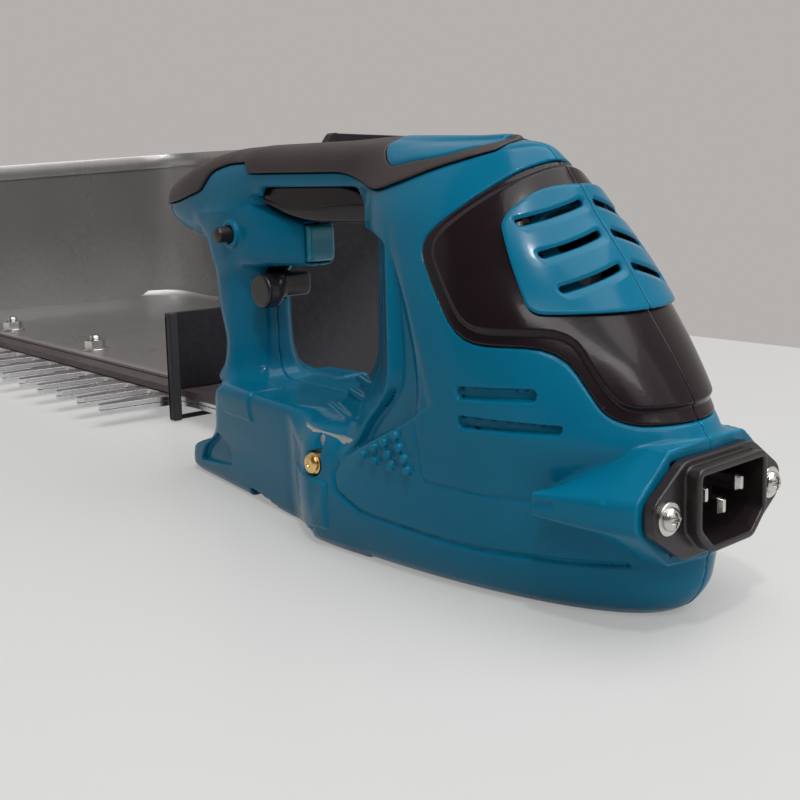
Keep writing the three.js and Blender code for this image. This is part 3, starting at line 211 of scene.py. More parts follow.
def side_table(function):
    """A function of the place in side view, looked up in a table of its values over the whole body."""
    rows, columns = (np.arange(a, b + TABLE_STEP, TABLE_STEP) for a, b in zip(TABLE_LOW, TABLE_HIGH))
    table = function(rows[:, None], columns[None, :])

    def look_up(x, z):
        a = np.clip((x - TABLE_LOW[0]) / TABLE_STEP, 0, len(rows) - 1.001)
        b = np.clip((z - TABLE_LOW[1]) / TABLE_STEP, 0, len(columns) - 1.001)
        i, j = a.astype(int), b.astype(int)
        s, t = a - i, b - j
        near = table[i, j] * (1 - s) + table[i + 1, j] * s
        far = table[i, j + 1] * (1 - s) + table[i + 1, j + 1] * s
        return near * (1 - t) + far * t

    return look_up


def outline_table(points):
    return side_table(lambda x, z: outline_field(points, x, z))


# ---------------- meshes


def surface_net(values, origin, step):
    """Quads over the zero surface of a grid of values, one vertex in each cell that it crosses."""
    cells = np.array(values.shape) - 1
    total = np.zeros((int(np.prod(cells)), 3))
    count = np.zeros(len(total))
    quads = []
    for axis in range(3):
        u, v = (axis + 1) % 3, (axis + 2) % 3
        a, b = np.delete(values, -1, axis), np.delete(values, 0, axis)
        at = np.argwhere((a < 0) != (b < 0))
        at = at[(at[:, u] > 0) & (at[:, v] > 0) & (at[:, u] < cells[u]) & (at[:, v] < cells[v])]
        va, vb = a[tuple(at.T)], b[tuple(at.T)]
        point = at.astype(float)
        point[:, axis] += va / (va - vb)
        corners = []
        for du, dv in ((-1, -1), (0, -1), (0, 0), (-1, 0)):
            cell = at.copy()
            cell[:, u] += du
            cell[:, v] += dv
            flat = np.ravel_multi_index(tuple(cell.T), cells)
            corners.append(flat)
            count += np.bincount(flat, minlength=len(count))
            for k in range(3):
                total[:, k] += np.bincount(flat, weights=point[:, k], minlength=len(count))
        quad = np.stack(corners, axis=1)
        quads.append(np.where((va < 0)[:, None], quad, quad[:, ::-1]))
    used = np.flatnonzero(count)
    number = np.full(len(count), -1)
    number[used] = np.arange(len(used))
    vertices = total[used] / count[used][:, None] * step + np.asarray(origin)
    return vertices, number[np.concatenate(quads)]


SETTLE_ROUNDS = 2
PROBE = 0.05
LEAST_SLOPE = 0.25


def settle(field, vertices, reach):
    """Moves vertices onto the field's zero surface, by at most the reach in each round."""
    p = vertices.copy()
    for _ in range(SETTLE_ROUNDS):
        f = field(*p.T)
        g = np.stack([field(*(p + PROBE * way).T) - f for way in np.eye(3)], axis=1) / PROBE
        size = np.maximum((g * g).sum(axis=1), LEAST_SLOPE)
        move = -(f / size)[:, None] * g
        length = np.maximum(np.linalg.norm(move, axis=1), NEVER_ZERO)
        p += move * np.minimum(1, reach / length)[:, None]
    return p


def values_of(items, name, kind, per_item=1):
    """One property of all faces or corners of a mesh, as an array."""
    values = np.empty(len(items) * per_item, kind)
    items.foreach_get(name, values)
    return values


def bent_faces(mesh, angle):
    """Edges and vertices of all faces that touch an edge with a bend over the angle."""
    normals = values_of(mesh.polygons, "normal", float, 3).reshape(-1, 3)
    edge_of = values_of(mesh.loops, "edge_index", int)
    vertex_of = values_of(mesh.loops, "vertex_index", int)
    face_of = np.repeat(np.arange(len(normals)), values_of(mesh.polygons, "loop_total", int))
    order = np.argsort(edge_of, kind="stable")
    pairs = order[: len(order) // 2 * 2].reshape(-1, 2)
    pairs = pairs[edge_of[pairs[:, 0]] == edge_of[pairs[:, 1]]]
    first, second = face_of[pairs[:, 0]], face_of[pairs[:, 1]]
    bent = (normals[first] * normals[second]).sum(axis=1) < math.cos(math.radians(angle))
    marked = np.zeros(len(normals), bool)
    marked[first[bent]] = marked[second[bent]] = True
    touched = np.zeros(len(mesh.vertices), bool)
    touched[vertex_of[marked[face_of]]] = True
    grown = np.zeros(len(normals), bool)
    grown[face_of[touched[vertex_of]]] = True
    return np.unique(edge_of[grown[face_of]]), np.unique(vertex_of[grown[face_of]])


def edited(made, change):
    """Runs a change on a piece's faces and edges."""
    form = bmesh.new()
    form.from_mesh(made.data)
    change(form)
    form.to_mesh(made.data)
    form.free()
    return made


def face_outward(form):
    bmesh.ops.recalc_face_normals(form, faces=form.faces)


MERGE_GAP = 0.001


def close_up(form):
    """One closed skin with its faces outward and flat triangles joined."""
    bmesh.ops.remove_doubles(form, verts=form.verts, dist=MERGE_GAP * MM)
    bmesh.ops.dissolve_limit(form, angle_limit=math.radians(1), verts=form.verts, edges=form.edges)
    face_outward(form)


def smooth_shaded(made):
    made.data.polygons.foreach_set("use_smooth", [True] * len(made.data.polygons))
    return made


def sharp_over(made, angle):
    made.data.set_sharp_from_angle(angle=math.radians(angle))
    return made


def linked(name, data):
    made = bpy.data.objects.new(name, data)
    scene.collection.objects.link(made)
    return made


def mesh_object(name, points, faces):
    mesh = bpy.data.meshes.new(name)
    mesh.from_pydata((np.asarray(points, float) * MM).tolist(), [], faces)
    mesh.validate()
    mesh.update()
    return linked(name, mesh)


BEND_ANGLE = 13


def sharpened(made, field, step):
    """Splits the faces about each bend and settles them on the field again."""
    before = len(made.data.vertices)
    edges, near = bent_faces(made.data, BEND_ANGLE)

    def split(form):
        form.edges.ensure_lookup_table()
        chosen = [form.edges[i] for i in edges.tolist()]
        bmesh.ops.subdivide_edges(form, edges=chosen, cuts=1, use_grid_fill=True)

    if len(edges):
        edited(made, split)
        places = values_of(made.data.vertices, "co", float, 3).reshape(-1, 3) / MM
        moved = np.concatenate([near, np.arange(before, len(places))])
        places[moved] = settle(field, places[moved], step * 0.3)
        made.data.vertices.foreach_set("co", (places * MM).ravel())
        made.data.update()
    return smooth_shaded(made)


def field_mesh(name, field, low, high, step):
    """A mesh object over a field's zero surface, between two corners."""
    low = np.asarray(low, float) - 2 * step
    counts = np.ceil((np.asarray(high, float) + 2 * step - low) / step).astype(int) + 1
    x, y, z = np.ix_(*(start + step * np.arange(count) for start, count in zip(low, counts)))
    values = np.broadcast_to(field(x, y, z), counts).astype(float)
    values = np.where(np.abs(values) < NEVER_ZERO, NEVER_ZERO, values)
    vertices, quads = surface_net(values, low, step)
    made = smooth_shaded(mesh_object(name, settle(field, vertices, step * 0.5), quads.tolist()))
    return sharpened(made, field, step)


def bevelled(made, width, segments):
    """Rounds the sharp edges of a hard-edged piece."""
    bevel = made.modifiers.new("edges", "BEVEL")
    bevel.width = width * MM
    bevel.segments = segments
    bevel.limit_method = "ANGLE"
    bevel.angle_limit = math.radians(35)
    bevel.harden_normals = True
    bevel.use_clamp_overlap = True
    bpy.context.view_layer.update()
    shaped = bpy.data.meshes.new_from_object(made.evaluated_get(bpy.context.evaluated_depsgraph_get()))
    made.modifiers.clear()
    made.data = shaped
    return made


ALONG = {
    "x": lambda u, v, w: (w, u, v),
    "y": lambda u, v, w: (u, w, v),
    "z": lambda u, v, w: (u, v, w),
}


def ring_faces(first, size, ahead):
    """Quads from one ring of points to the ring that comes a number of points ahead."""
    pairs = [(first + i, first + (i + 1) % size) for i in range(size)]
    return [(a, b, b + ahead, a + ahead) for a, b in pairs]


def prism(name, shape, low, high, axis="z", holes=(), bevel=0.3, segments=2):
    """A flat plate between two positions on an axis, with holes right through."""
    rings = [list(shape), *[list(h) for h in holes]]
    flat = [p for ring in rings for p in ring]
    triangles = tessellate_polygon([[Vector((p[0], p[1], 0)) for p in ring] for ring in rings])
    points = [ALONG[axis](p[0], p[1], level) for level in (low, high) for p in flat]
    count = len(flat)
    faces = [tuple(t) for t in triangles] + [tuple(i + count for i in reversed(t)) for t in triangles]
    first = 0
    for ring in rings:
        faces += ring_faces(first, len(ring), count)
        first += len(ring)
    made = edited(smooth_shaded(mesh_object(name, points, faces)), close_up)
    return bevelled(made, bevel, segments)


def swept(name, sections):
    """A skin over sections with the same count of points, closed at both ends."""
    size, last = len(sections[0]), len(sections) - 1
    faces = [face for row in range(last) for face in ring_faces(row * size, size, size)]
    faces += [tuple(range(size)), tuple(range(last * size, (last + 1) * size))]
    points = [p for ring in sections for p in ring]
    return edited(smooth_shaded(mesh_object(name, points, faces)), face_outward)


def circle(centre, radius, sides=28, turn=0.0):
    turns = [turn + 2 * math.pi * i / sides for i in range(sides)]
    return [(centre[0] + radius * math.cos(t), centre[1] + radius * math.sin(t)) for t in turns]


LEAST_RADIUS = 0.002


def lathe(name, profile, centre, axis="z", sides=40):
    """A turned piece: profile rows are (radius, position on the axis), from one end to the other."""
    sections = [
        [ALONG[axis](u, v, level) for u, v in circle(centre, max(radius, LEAST_RADIUS), sides)]
        for radius, level in profile
    ]
    return sharp_over(swept(name, sections), 40)


def joined(name, pieces):
    """One object out of several."""
    form = bmesh.new()
    for piece in pieces:
        form.from_mesh(piece.data)
        bpy.data.objects.remove(piece)
    mesh = bpy.data.meshes.new(name)
    form.to_mesh(mesh)
    form.free()
    return linked(name, mesh)


def fit(piece, node, slot, body="body"):
    """Puts a piece in the place of a CAD node, on its body and with a finish by name."""
    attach(piece, body)
    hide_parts(node)
    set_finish(piece, slot)


def fit_halves(*forms):
    """Forms on both sides of the seam. Their fields take y outward, and the side: 1 is left."""
    for side_name, side in (("left", 1), ("right", -1)):
        for name, node, slot, field, x_range, width, z_range, step in forms:
            low, high = zip(x_range, sorted([0.0, side * width]), z_range)
            made = field_mesh(
                f"{side_name}_{name}", lambda x, y, z: field(x, y * side, z, side), low, high, step
            )
            fit(made, f"{side_name}_{node}", slot)


# ---------------- body forms

BODY_TOP = 113.3
HALF_WIDTH = 35
REAR_LEVELS = [
    (0, -86, 104, HALF_WIDTH - 5.5, 22),
    (3, -90.5, 104, HALF_WIDTH - 3, 22),
    (10, -94.5, 102, HALF_WIDTH - 1, 22),
    (20, -95.5, 94, HALF_WIDTH, 22),
    (41, -95.5, 68, HALF_WIDTH, 20),
    (50, -91, 58, HALF_WIDTH, 16),
    (60, -85, 50, HALF_WIDTH - 0.5, 13.5),
    (72, -76.5, 42, HALF_WIDTH - 2, 13),
    (84, -68, 38, HALF_WIDTH - 5, 13.5),
    (94, -60, 36, HALF_WIDTH - 8.5, 16),
    (102, -54.5, 34, HALF_WIDTH - 13.5, 20),
    (108, -50, 32, HALF_WIDTH - 19.5, 22),
    (111.5, -46, 28, HALF_WIDTH - 25.5, 20),
    (BODY_TOP, -38, 20, HALF_WIDTH - 32, 12),
]


def rear_body(x, y, z):
    """Level by level: the tail's place, its depth to the widest place, half-width and front."""
    tail, depth, half, front = smooth_rows(REAR_LEVELS, z)
    middle = tail + depth
    reach = np.where(x < middle, depth, front - middle)
    u, v = (x - middle) / reach, y / half
    r = np.sqrt(u * u + v * v) + TINY
    slope = np.sqrt((u / reach) ** 2 + (v / half) ** 2) / r
    return trimmed((r - 1) / np.maximum(slope, 1e-4), (z - BODY_TOP, 3.0), (-z, 1.0))


DECK = 36
TIP = 116
BASE_LEVELS = [
    (0, 30.5, 23.5, 14, TIP - 3),
    (2.5, 32.5, 24.5, 15.3, TIP - 0.5),
    (8, 33.5, 25, 16, TIP - 2),
    (14, 34.5, 25.2, 17, TIP - 16),
    (20, 34.8, 25.4, 19, TIP - 22.5),
    (28, 34.8, 25.8, 20.8, TIP - 26),
    (DECK - 2.5, 34.5, 26, 22.5, TIP - 29.5),
    (DECK, 34.3, 26, 22.5, TIP - 31),
]
GEAR_END = 12
DECK_START = 38
BASE_REAR = -6


def front_base(x, y, z):
    """Level by level: half-width at the gear, behind the deck and at the nose, and the tip."""
    gear, deck, nose, tip = smooth_rows(BASE_LEVELS, z)
    share = np.clip((x - GEAR_END) / (DECK_START - GEAR_END), 0, 1)
    along = np.clip((x - DECK_START) / (tip - DECK_START), 0, 1.05)
    waist = (deck - gear + 0.4) * ease(share, 0, 1)
    half = gear - 0.02 * np.clip(x + 5, 0, 20) + waist + (nose - deck) * along
    half = half - 0.006 * np.clip(GEAR_END - x, 0, 30) ** 2
    slant = np.where((share > 0) & (share < 1), 1.1, 1.0)
    shoulder = 3.0 + 9.0 * ease(x, 36, 22)
    body = trimmed((np.abs(y) - half) / slant, (x - tip, 7), (z - DECK, shoulder))
    return smooth_max(np.maximum(body, BASE_REAR - x), -z, 1.0)


GRIP_TOP = 114.3
UNDERSIDE = 101.5
GRIP_HALF = 13.3
GRIP_STATIONS = [
    (-30, 89, GRIP_TOP - 5.6, GRIP_HALF + 1.4),
    (-16, 90, GRIP_TOP - 2.6, GRIP_HALF + 2.2),
    (0, 94, GRIP_TOP - 1, GRIP_HALF + 1.2),
    (12, UNDERSIDE - 5.5, GRIP_TOP - 0.3, GRIP_HALF + 0.2),
    (69, UNDERSIDE - 5.5, GRIP_TOP - 0.1, GRIP_HALF),
    (74, 94, GRIP_TOP - 0.3, GRIP_HALF),
    (84, 86, GRIP_TOP - 0.5, GRIP_HALF),
    (97, 83, GRIP_TOP - 1.7, GRIP_HALF - 0.3),
    (110, 83, GRIP_TOP - 4.2, GRIP_HALF - 1),
    (120, 84.5, GRIP_TOP - 6.8, GRIP_HALF - 2.3),
    (130, 87.5, GRIP_TOP - 10, GRIP_HALF - 4.4),
    (136, 89.5, GRIP_TOP - 12.6, GRIP_HALF - 7.2),
    (141, 91.3, GRIP_TOP - 15.5, GRIP_HALF - 9.8),
    (142, 92.6, GRIP_TOP - 17.5, GRIP_HALF - 10.6),
]
GRIP_START, GRIP_END = -30, 142
GRIP_OPENING = (12, 66)
GRIP_POWER = 2.7


def section_field(x, y, z, rows, power):
    """Superellipse sections across X, from rows of underside, top and half-width."""
    bottom, top, half = smooth_rows(rows, x)
    middle, tall = (bottom + top) / 2, (top - bottom) / 2
    u, v = np.abs(y / half), np.abs((z - middle) / tall)
    r = (u**power + v**power) ** (1 / power) + TINY
    slope_u = u ** (power - 1) / half
    slope_v = v ** (power - 1) / tall
    slope = np.sqrt(slope_u**2 + slope_v**2) / r ** (power - 1)
    return (r - 1) / np.maximum(slope, 1e-3)


def grip(x, y, z):
    body = section_field(x, y, z, GRIP_STATIONS, GRIP_POWER)
    body = smooth_max(np.maximum(body, GRIP_START - x), x - GRIP_END, 1.0)
    opening = smooth_max(span(x, *GRIP_OPENING, 0.1), z - UNDERSIDE, 3.0)
    return smooth_max(body, -opening, 1.2)


POST_LEVELS = [
    (DECK - 4, 73, 91, 18.2, 12),
    (DECK + 0.5, 74, 102, 16.2, 9),
    (DECK + 5, 75.8, 100, 13.7, 6.5),
    (DECK + 12, 76.7, 99.5, 12.5, 5.4),
    (60, 77, 103, 12.2, 5),
    (70, 77, 104.5, 12.2, 5.2),
    (80, 77, 107, 12.2, 5.5),
    (90, 77, 113.5, 12.7, 7),
]
POST_FOOT, POST_TOP = 30, 92
POST_CHAMFER = 7.0


def post(x, y, z):
    """Level by level: rear face, front face, half-width, and half-width of the rear face."""
    rear, front, half, rear_half = smooth_rows(POST_LEVELS, z)
    rise = (half - rear_half - 1.0) / POST_CHAMFER
    chamfer = (np.abs(y) - rear_half - (x - rear - 0.5) * rise) / np.sqrt(1 + rise**2)
    body = smooth_max(np.abs(y) - half, chamfer, 3.0)
    nose = np.sqrt((x - front + half) ** 2 + y * y) - half
    body = np.where(x > front - half, np.maximum(body, nose), body)
    body = smooth_max(body, rear - x, 1.5)
    return np.maximum(np.maximum(body, z - POST_TOP), POST_FOOT - z)


BOX_REAR = 51.5
BOX_LENGTH = 51
BOX_POWER = 5.0
BOX_STATIONS = [
    (BOX_REAR, 76, 90.2, 6.3),
    (BOX_REAR + 6, 75.8, 91.8, 8.8),
    (BOX_REAR + 15, 75.4, 94.5, 11.6),
    (BOX_REAR + 23, 74.5, 97, 13.2),
    (BOX_REAR + 33, 74, 99, 13.6),
    (BOX_REAR + 43, 74, 99, 13),
    (BOX_REAR + BOX_LENGTH, 77, 98, 10),
]


def trigger_box(x, y, z):
    body = section_field(x, y, z, BOX_STATIONS, BOX_POWER)
    return trimmed(body, (BOX_REAR - x, 1.2), (x - (BOX_REAR + BOX_LENGTH), 1.0))


INLET_Z = 30
BOSS_FACE = -95.5
BOSS_STATIONS = [
    (-96, 26.5, 13.6, 14.5),
    (-90.5, 28.9, 13.6, 15.5),
    (-82.5, 31.1, 10.1, 18.5),
    (-73.5, 32.9, 4.5, 23.5),
    (-70, 33.5, 2.0, 25),
]
BOSS_END = -70
EAR_HALF = 3.4


def inlet_boss(x, y, z):
    """Station by station: the ears' reach, half-height, and half-width of the flat top."""
    ear, half, flat = smooth_rows(BOSS_STATIONS, x)
    rise = (half - EAR_HALF) / np.maximum(ear - flat, 1)
    past = np.maximum(0, np.abs(y) - flat)
    roof = (np.abs(z - INLET_Z) - half + past * rise) / np.sqrt(1 + np.where(past > 0, rise, 0) ** 2)
    body = smooth_max(roof, np.abs(y) - ear, 1.4)
    return np.maximum(np.maximum(body, BOSS_FACE - x), x - BOSS_END)


GUSSET_EDGE = [(31, DECK - 3), (28.8, 35.3), (21.3, 40.1), (17.1, 46.7), (13, 53.8), (9.9, 60)]
GUSSET_SLOPE = (0.3, 0.62, 0.725)
GUSSET_REACH = 42.9
GUSSET_REAR, GUSSET_TOP = -1, 60


def gusset(x, y, z):
    """The web between the deck and the rear body: its front edge, and flanks that slant inward."""
    corners = [(GUSSET_REAR, DECK - 4), *GUSSET_EDGE, (GUSSET_REAR, GUSSET_TOP)]
    side = outline_field(corners, x, z)
    flank = GUSSET_SLOPE[0] * x + GUSSET_SLOPE[1] * np.abs(y) + GUSSET_SLOPE[2] * z - GUSSET_REACH
    return smooth_max(side, flank, 1.0)


RIDGE_LINE = [
    (24, 1.5), (28, -0.9), (34, -6.1), (40, -10.6), (46.5, -17.4), (51.3, -20.8), (54.4, -21.1),
    (67.6, -19), (77.7, -16.7), (86.8, -13.7), (97, -8),
]
FLANK_NORMAL = (0.6, 0.8)
FLANK_FADE = 12


def outermost(field, x, z, ys):
    """The last of some places along Y that is inside a field."""
    inside = field(np.full_like(ys, x), ys, np.full_like(ys, z)) < 0
    return ys[np.flatnonzero(inside)[-1]]


# How far out the flank ahead of the ridge lies, level by level, so that it passes through the ridge.
FLANK_ROWS = [
    (z, FLANK_NORMAL[0] * x + FLANK_NORMAL[1] * outermost(rear_body, x, z, np.linspace(5, 40, 701)))
    for z, x in RIDGE_LINE
]


def ridged_rear(x, y, z):
    """The rear body, cut flat ahead of its front ridge, from just over the belt to below the top."""
    (offset,) = smooth_rows(FLANK_ROWS, z)
    flank = FLANK_NORMAL[0] * x + FLANK_NORMAL[1] * np.abs(y) - offset
    flank = flank - FLANK_FADE * ease(z, 86, 97) - FLANK_FADE * ease(z, 30, 24)
    return smooth_max(rear_body(x, y, z), flank, 0.5)


def body_field(x, y, z):
    body = smooth_min(ridged_rear(x, y, z), front_base(x, y, z), 2.0)
    body = smooth_min(body, gusset(x, y, z), 1.5)
    body = smooth_min(body, inlet_boss(x, y, z), 1.2)
    body = smooth_min(body, post(x, y, z), 5.0)
    upper = smooth_min(grip(x, y, z), trigger_box(x, y, z), 2.5)
    return smooth_min(body, upper, 4.0)


def top_field(x, y, z):
    return smooth_min(rear_body(x, y, z), grip(x, y, z), 4.0)


# ---------------- outlines on the body

FAR_BACK = -120


def panel_outline(extra):
    return outline([
        (FAR_BACK, 47.2 - extra), (-86, 47.4 - extra, 4), (-81 + extra, 49.6, 3),
        (-70.5 + extra, 64.4 - extra, 7), (-47.6, 64.4 - extra, 7), (-28.8 + extra, 87.6, 9),
        (-38 + extra, 96.2, 8), (-46 + extra, 104 + extra, 6), (-52.5 + extra, 108.4 + extra),
        (-60, 125), (FAR_BACK, 125),
    ])


def vent_outline(extra):
    return outline([
        (FAR_BACK, 71.8 - extra), (-64.3 + extra, 72 - extra, 3), (-50.2 + extra, 93.6, 3),
        (-54 + extra, 101 + extra, 3), (-60, 102.2 + extra), (FAR_BACK, 102.2 + extra),
    ])


def rubber_outline(extra):
    return outline([
        (150, 94.5 - extra), (122, 96.9 - extra, 4), (102.5 - extra, 100.8 - extra, 3),
        (96 - extra, 107.4 - extra, 3), (85, 109.6 - extra, 4), (73.4 + extra, 109.8 - extra, 1),
        (70.5 + extra, 106.1 - extra, 1), (20, 105.8 - extra, 6), (10, 103 - extra, 5),
        (-2, 100.4 - extra, 5), (-14, 103 - extra, 5), (-25, 106.6 - extra, 3),
        (-38 - extra, 110.4 - extra, 1), (-38 - extra, 130), (150, 130),
    ])


INSET_FOOT = 104


def inset_outline(extra):
    near = [(3.4 + extra, 11.5, 4), (-5, 17.4 + extra, 5), (-24, 15 + extra, 8), (-33.5 - extra, 7.5, 4)]
    far = [(x, -y, r) for x, y, r in reversed(near)]
    return outline([(4.6 + extra, 0, 4), *near, (-35 - extra, 0, 4), *far])


LOUVRES = [
    [(-47.2, 51.1), (-67, 52.1), (-67, 54.9), (-47.2, 54)],
    [(-47.3, 44), (-72.8, 44.9), (-73.2, 46.9), (-47.2, 46.9)],
]
SHOULDER_LINE = [
    (28, -34), (37, -38.1), (42.4, -40.1), (47.5, -40.1), (53.5, -38.6), (61.8, -35.4), (71.2, -30.4),
    (78.4, -26.4), (85.6, -21.8), (90, -18.8), (97, -18),
]
INNER_LINE = [
    (28, -22), (36, -27), (44, -31.4), (51.4, -32.4), (59.8, -30.8), (63.6, -29.3), (70.8, -26.2),
    (78, -21.4), (85.3, -15.8), (97, -10),
]
FLUTE_FOOT = [
    (-44, 50), (-31.4, 43.9), (-25.8, 40.7), (-19.5, 37.5), (-14.2, 34.9), (-6.8, 31.1), (-2, 28.1), (8, 22),
]
FLUTE_DEPTH = 3.0
FLUTE_END = 92
BELT_LINE = [
    (0.5, 26.5), (2.2, 23), (0.6, 18.6), (-9.4, 14.6), (-24.5, 13.7), (-37.7, 13), (-49.7, 12.8),
    (-60.6, 13.4), (-84, 14.6),
]
SECOND_LINE = [(-32.7, 43), (-33.3, 31), (-34.6, 28.3), (-40, 28.1), (-52, 27.6), (-62.4, 28), (-76, 31)]
RELIEF_PLATE = [(25.7, 21.3), (26.6, 7), (17.8, 3), (12.8, 5.6), (6.1, 6), (5.3, 19.9)]
NOSE_FOOT = [(99.4, 11.1), (88.8, 17.6), (79.4, 13.6), (78.4, 8), (104, 5)]
DECK_LIP = [(59, 27), (78, 27), (78, 40), (59, 40)]
GRIP_DOTS = [
    (-12.3, 31.2), (-17.1, 34), (-17.3, 30.5), (-21.3, 36), (-22.7, 33.1), (-23.4, 30.3), (-25.7, 38.7),
    (-27.2, 35.8), (-28.7, 33.1), (-29.4, 30.1),
]
STEP_BARS = [
    ((21.3, 12, 40.1), (-1, 22, 40.7)), ((28.8, 14, 35.3), (1, 26, 35.3)), ((22.2, 8, 43.7), (1.5, 18, 44.3)),
]


def below(line, x, z):
    """How far a place lies under a line that runs along X."""
    xs, zs = zip(*sorted(line))
    return np.interp(x, xs, zs) - z


def groove(distance, width, depth):
    """How far a round groove goes in, at a distance from its line."""
    return depth * np.exp(-((distance / width) ** 2))


def sunk(corners, radius, depth, x, z, edge=0.7):
    """How far a flat-bottomed recess goes in."""
    return depth * ease(-outline_field(outline(corners, radius), x, z), -edge / 2, edge / 2)


def side_marks(x, z):
    """How far the sides' skin goes in, by place in side view."""
    lines = (SHOULDER_LINE, INNER_LINE, RIDGE_LINE)
    rear, middle, front = (smooth_rows(line, z)[0] for line in lines)
    depth = np.minimum(FLUTE_DEPTH, 0.2 * (front - rear)) * ease(z, FLUTE_END + 4, FLUTE_END - 8)
    scoop = 0.25 * ease(x, rear, rear + 4) + 0.75 * ease(x, middle - 2.5, middle + 2.5)
    inward = depth * scoop * ease(x, front - 0.2, front - 3.2) * ease(below(FLUTE_FOOT, x, z), 0.5, -1.2)
    inward = inward + groove(line_distance(BELT_LINE, x, z), 0.55, 0.7)
    inward = inward + 0.35 * ease(below(BELT_LINE[2:], x, z), 1.2, 0) * ease(x, 4, 1)
    inward = inward + groove(line_distance(SECOND_LINE, x, z), 0.5, 0.45)
    for corners in LOUVRES:
        inward = inward + sunk(corners, 1.6, 1.9, x, z)
    inward = inward - sunk(RELIEF_PLATE, 1.5, 1.0, x, z, 0.5)
    inward = inward - sunk(DECK_LIP, 0.5, 0.7, x, z, 0.5)
    return inward + sunk(NOSE_FOOT, 1.5, 1.9, x, z, 0.8)


side_relief = side_table(side_marks)


def on_skin(places):
    """Places in side view, moved out to the body's skin."""
    return [(x, outermost(body_field, x, z, np.linspace(0, 40, 401)), z) for x, z in places]


# ---------------- housing halves

LOCK_CENTRE = (82.5, 86)
LOCK_RING = 4.8
NIPPLE_CENTRE = (11.5, 24.2)
INLET_SCREW_Y = 20
HOUSING_SCREWS = [(-77, 55), (-14, 101), (3.5, 62), (90, 52), (117, 92.7)]
DOT_PLACES, DOT_RADIUS = on_skin(GRIP_DOTS), 1.35
KEYHOLE, KEY_RADIUS = on_skin([(10, 28.6), (10, 30.8)]), 2.1
STEP_RADIUS = 1.3
PANEL_SINK, RUBBER_SINK = 0.9, 0.6
LEVER_MOUTH = outline([
    (11.6, 80), (46, 80), (46.5, 89.6, 1), (50.6, 91.1, 2), (58, 92.3, 2), (66.5, 95, 2),
    (69.6, 96.6, 3), (69.6, 107), (11.6, 107),
])
INLET_OPENING = ((-110, -1, INLET_Z - 10.5), (-84, 14.4, INLET_Z + 10.5))
TONGUE_OPENING = ((66, -1, 91.5), (78.5, 6.3, 101.8))
CATCH_OPENING = ((70, -1, 63), (86, 3.9, 75.2))
TRIGGER_OPENING = ((40, -1, 77), (72, 5.2, 89.5), 0.6)
SOLE_OPENING = ((-45.7, -1, -5), (66, 22, 3.2), 1.0)
BLADE_DOOR = ((26, 12, 2.8), (130, 70, 16.9), 1.0)
INLET_SCREW_HOLE, LOCK_HOLE, NIPPLE_HOLE, SCREW_HOLE = 1.9, 3.0, 3.6, 3.7
MOUTH_HALF = 10.5
CAVITY_FLOOR = -88
HOUSING_SEAM, PANEL_SEAM, VENT_SEAM = 0.06, 0.08, 0.1
BODY_STEP = 1.0

panel_rim, panel_seat = outline_table(panel_outline(SEAT_GAP)), outline_table(panel_outline(1.5))
rubber_rim, rubber_seat = outline_table(rubber_outline(SEAT_GAP)), outline_table(rubber_outline(1.5))
vent_rim, mouth_side = outline_table(vent_outline(-4)), outline_table(LEVER_MOUTH)


def openings(x, out, z, side):
    """What is cut through the wall of one half."""
    yield box_field(x, out, z, *INLET_OPENING)
    yield smooth_max(mouth_side(x, z), out - MOUTH_HALF, 0.8)
    for block in (TONGUE_OPENING, CATCH_OPENING, TRIGGER_OPENING, SOLE_OPENING):
        yield box_field(x, out, z, *block)
    yield np.maximum(round_field(out, z, (INLET_SCREW_Y, INLET_Z), INLET_SCREW_HOLE), x - CAVITY_FLOOR)
    if side > 0:
        yield rod_y(x, out, z, LOCK_CENTRE, LOCK_HOLE, 5, 20)
        yield rod_y(x, out, z, NIPPLE_CENTRE, NIPPLE_HOLE, 15, 45)
    else:
        yield box_field(x, out, z, *BLADE_DOOR)
        for centre in HOUSING_SCREWS:
            yield rod_y(x, out, z, centre, SCREW_HOLE, 8, 60)


def housing_field(x, out, z, side):
    """One half of the clamshell, with seats for the panel, the vent cover and the overmould."""
    marked = body_field(x, out, z) + side_relief(x, z) * ease(out, 9, 15)
    under = PANEL_SINK * ease(-panel_seat(x, z), -1.5, 1.5)
    under = under + RUBBER_SINK * ease(-rubber_seat(x, z), -1.5, 1.5)
    inside = marked + WALL + under
    for start, end in STEP_BARS:
        marked = smooth_min(marked, capsule(x, out, z, start, end, STEP_RADIUS), 0.4)
    if side > 0:
        marked = smooth_min(marked, rod_y(x, out, z, LOCK_CENTRE, LOCK_RING, 6, 15, 0.8), 0.8)
        for dot_x, dot_y, dot_z in DOT_PLACES:
            away = (x - dot_x) ** 2 + (out - dot_y - 0.1) ** 2 + (z - dot_z) ** 2
            marked = smooth_min(marked, np.sqrt(away) - DOT_RADIUS, 0.15)
        marked = smooth_max(marked, -capsule(x, out, z, *KEYHOLE, KEY_RADIUS), 0.3)
    panel = smooth_max(panel_rim(x, z), -(rear_body(x, out, z) + SKIN + 0.45), 0.1)
    rubber = smooth_max(rubber_rim(x, z), -(top_field(x, out, z) + SKIN + SEAT_GAP), 0.1)
    shell = trimmed(marked, (-panel, 0.7), (-rubber, 0.6), (-vent_rim(x, z), 0.4), (-inside, 0.3))
    shell = trimmed(shell, *((-opening, 0.5) for opening in openings(x, out, z, side)))
    return smooth_max(shell, HOUSING_SEAM - out, 0.35)


fit_halves(
    ("housing_shell", "housing", "teal_shell", housing_field, (-97, 147), 36.5, (-0.5, 116), BODY_STEP),
)


# ---------------- rear panels and vent covers

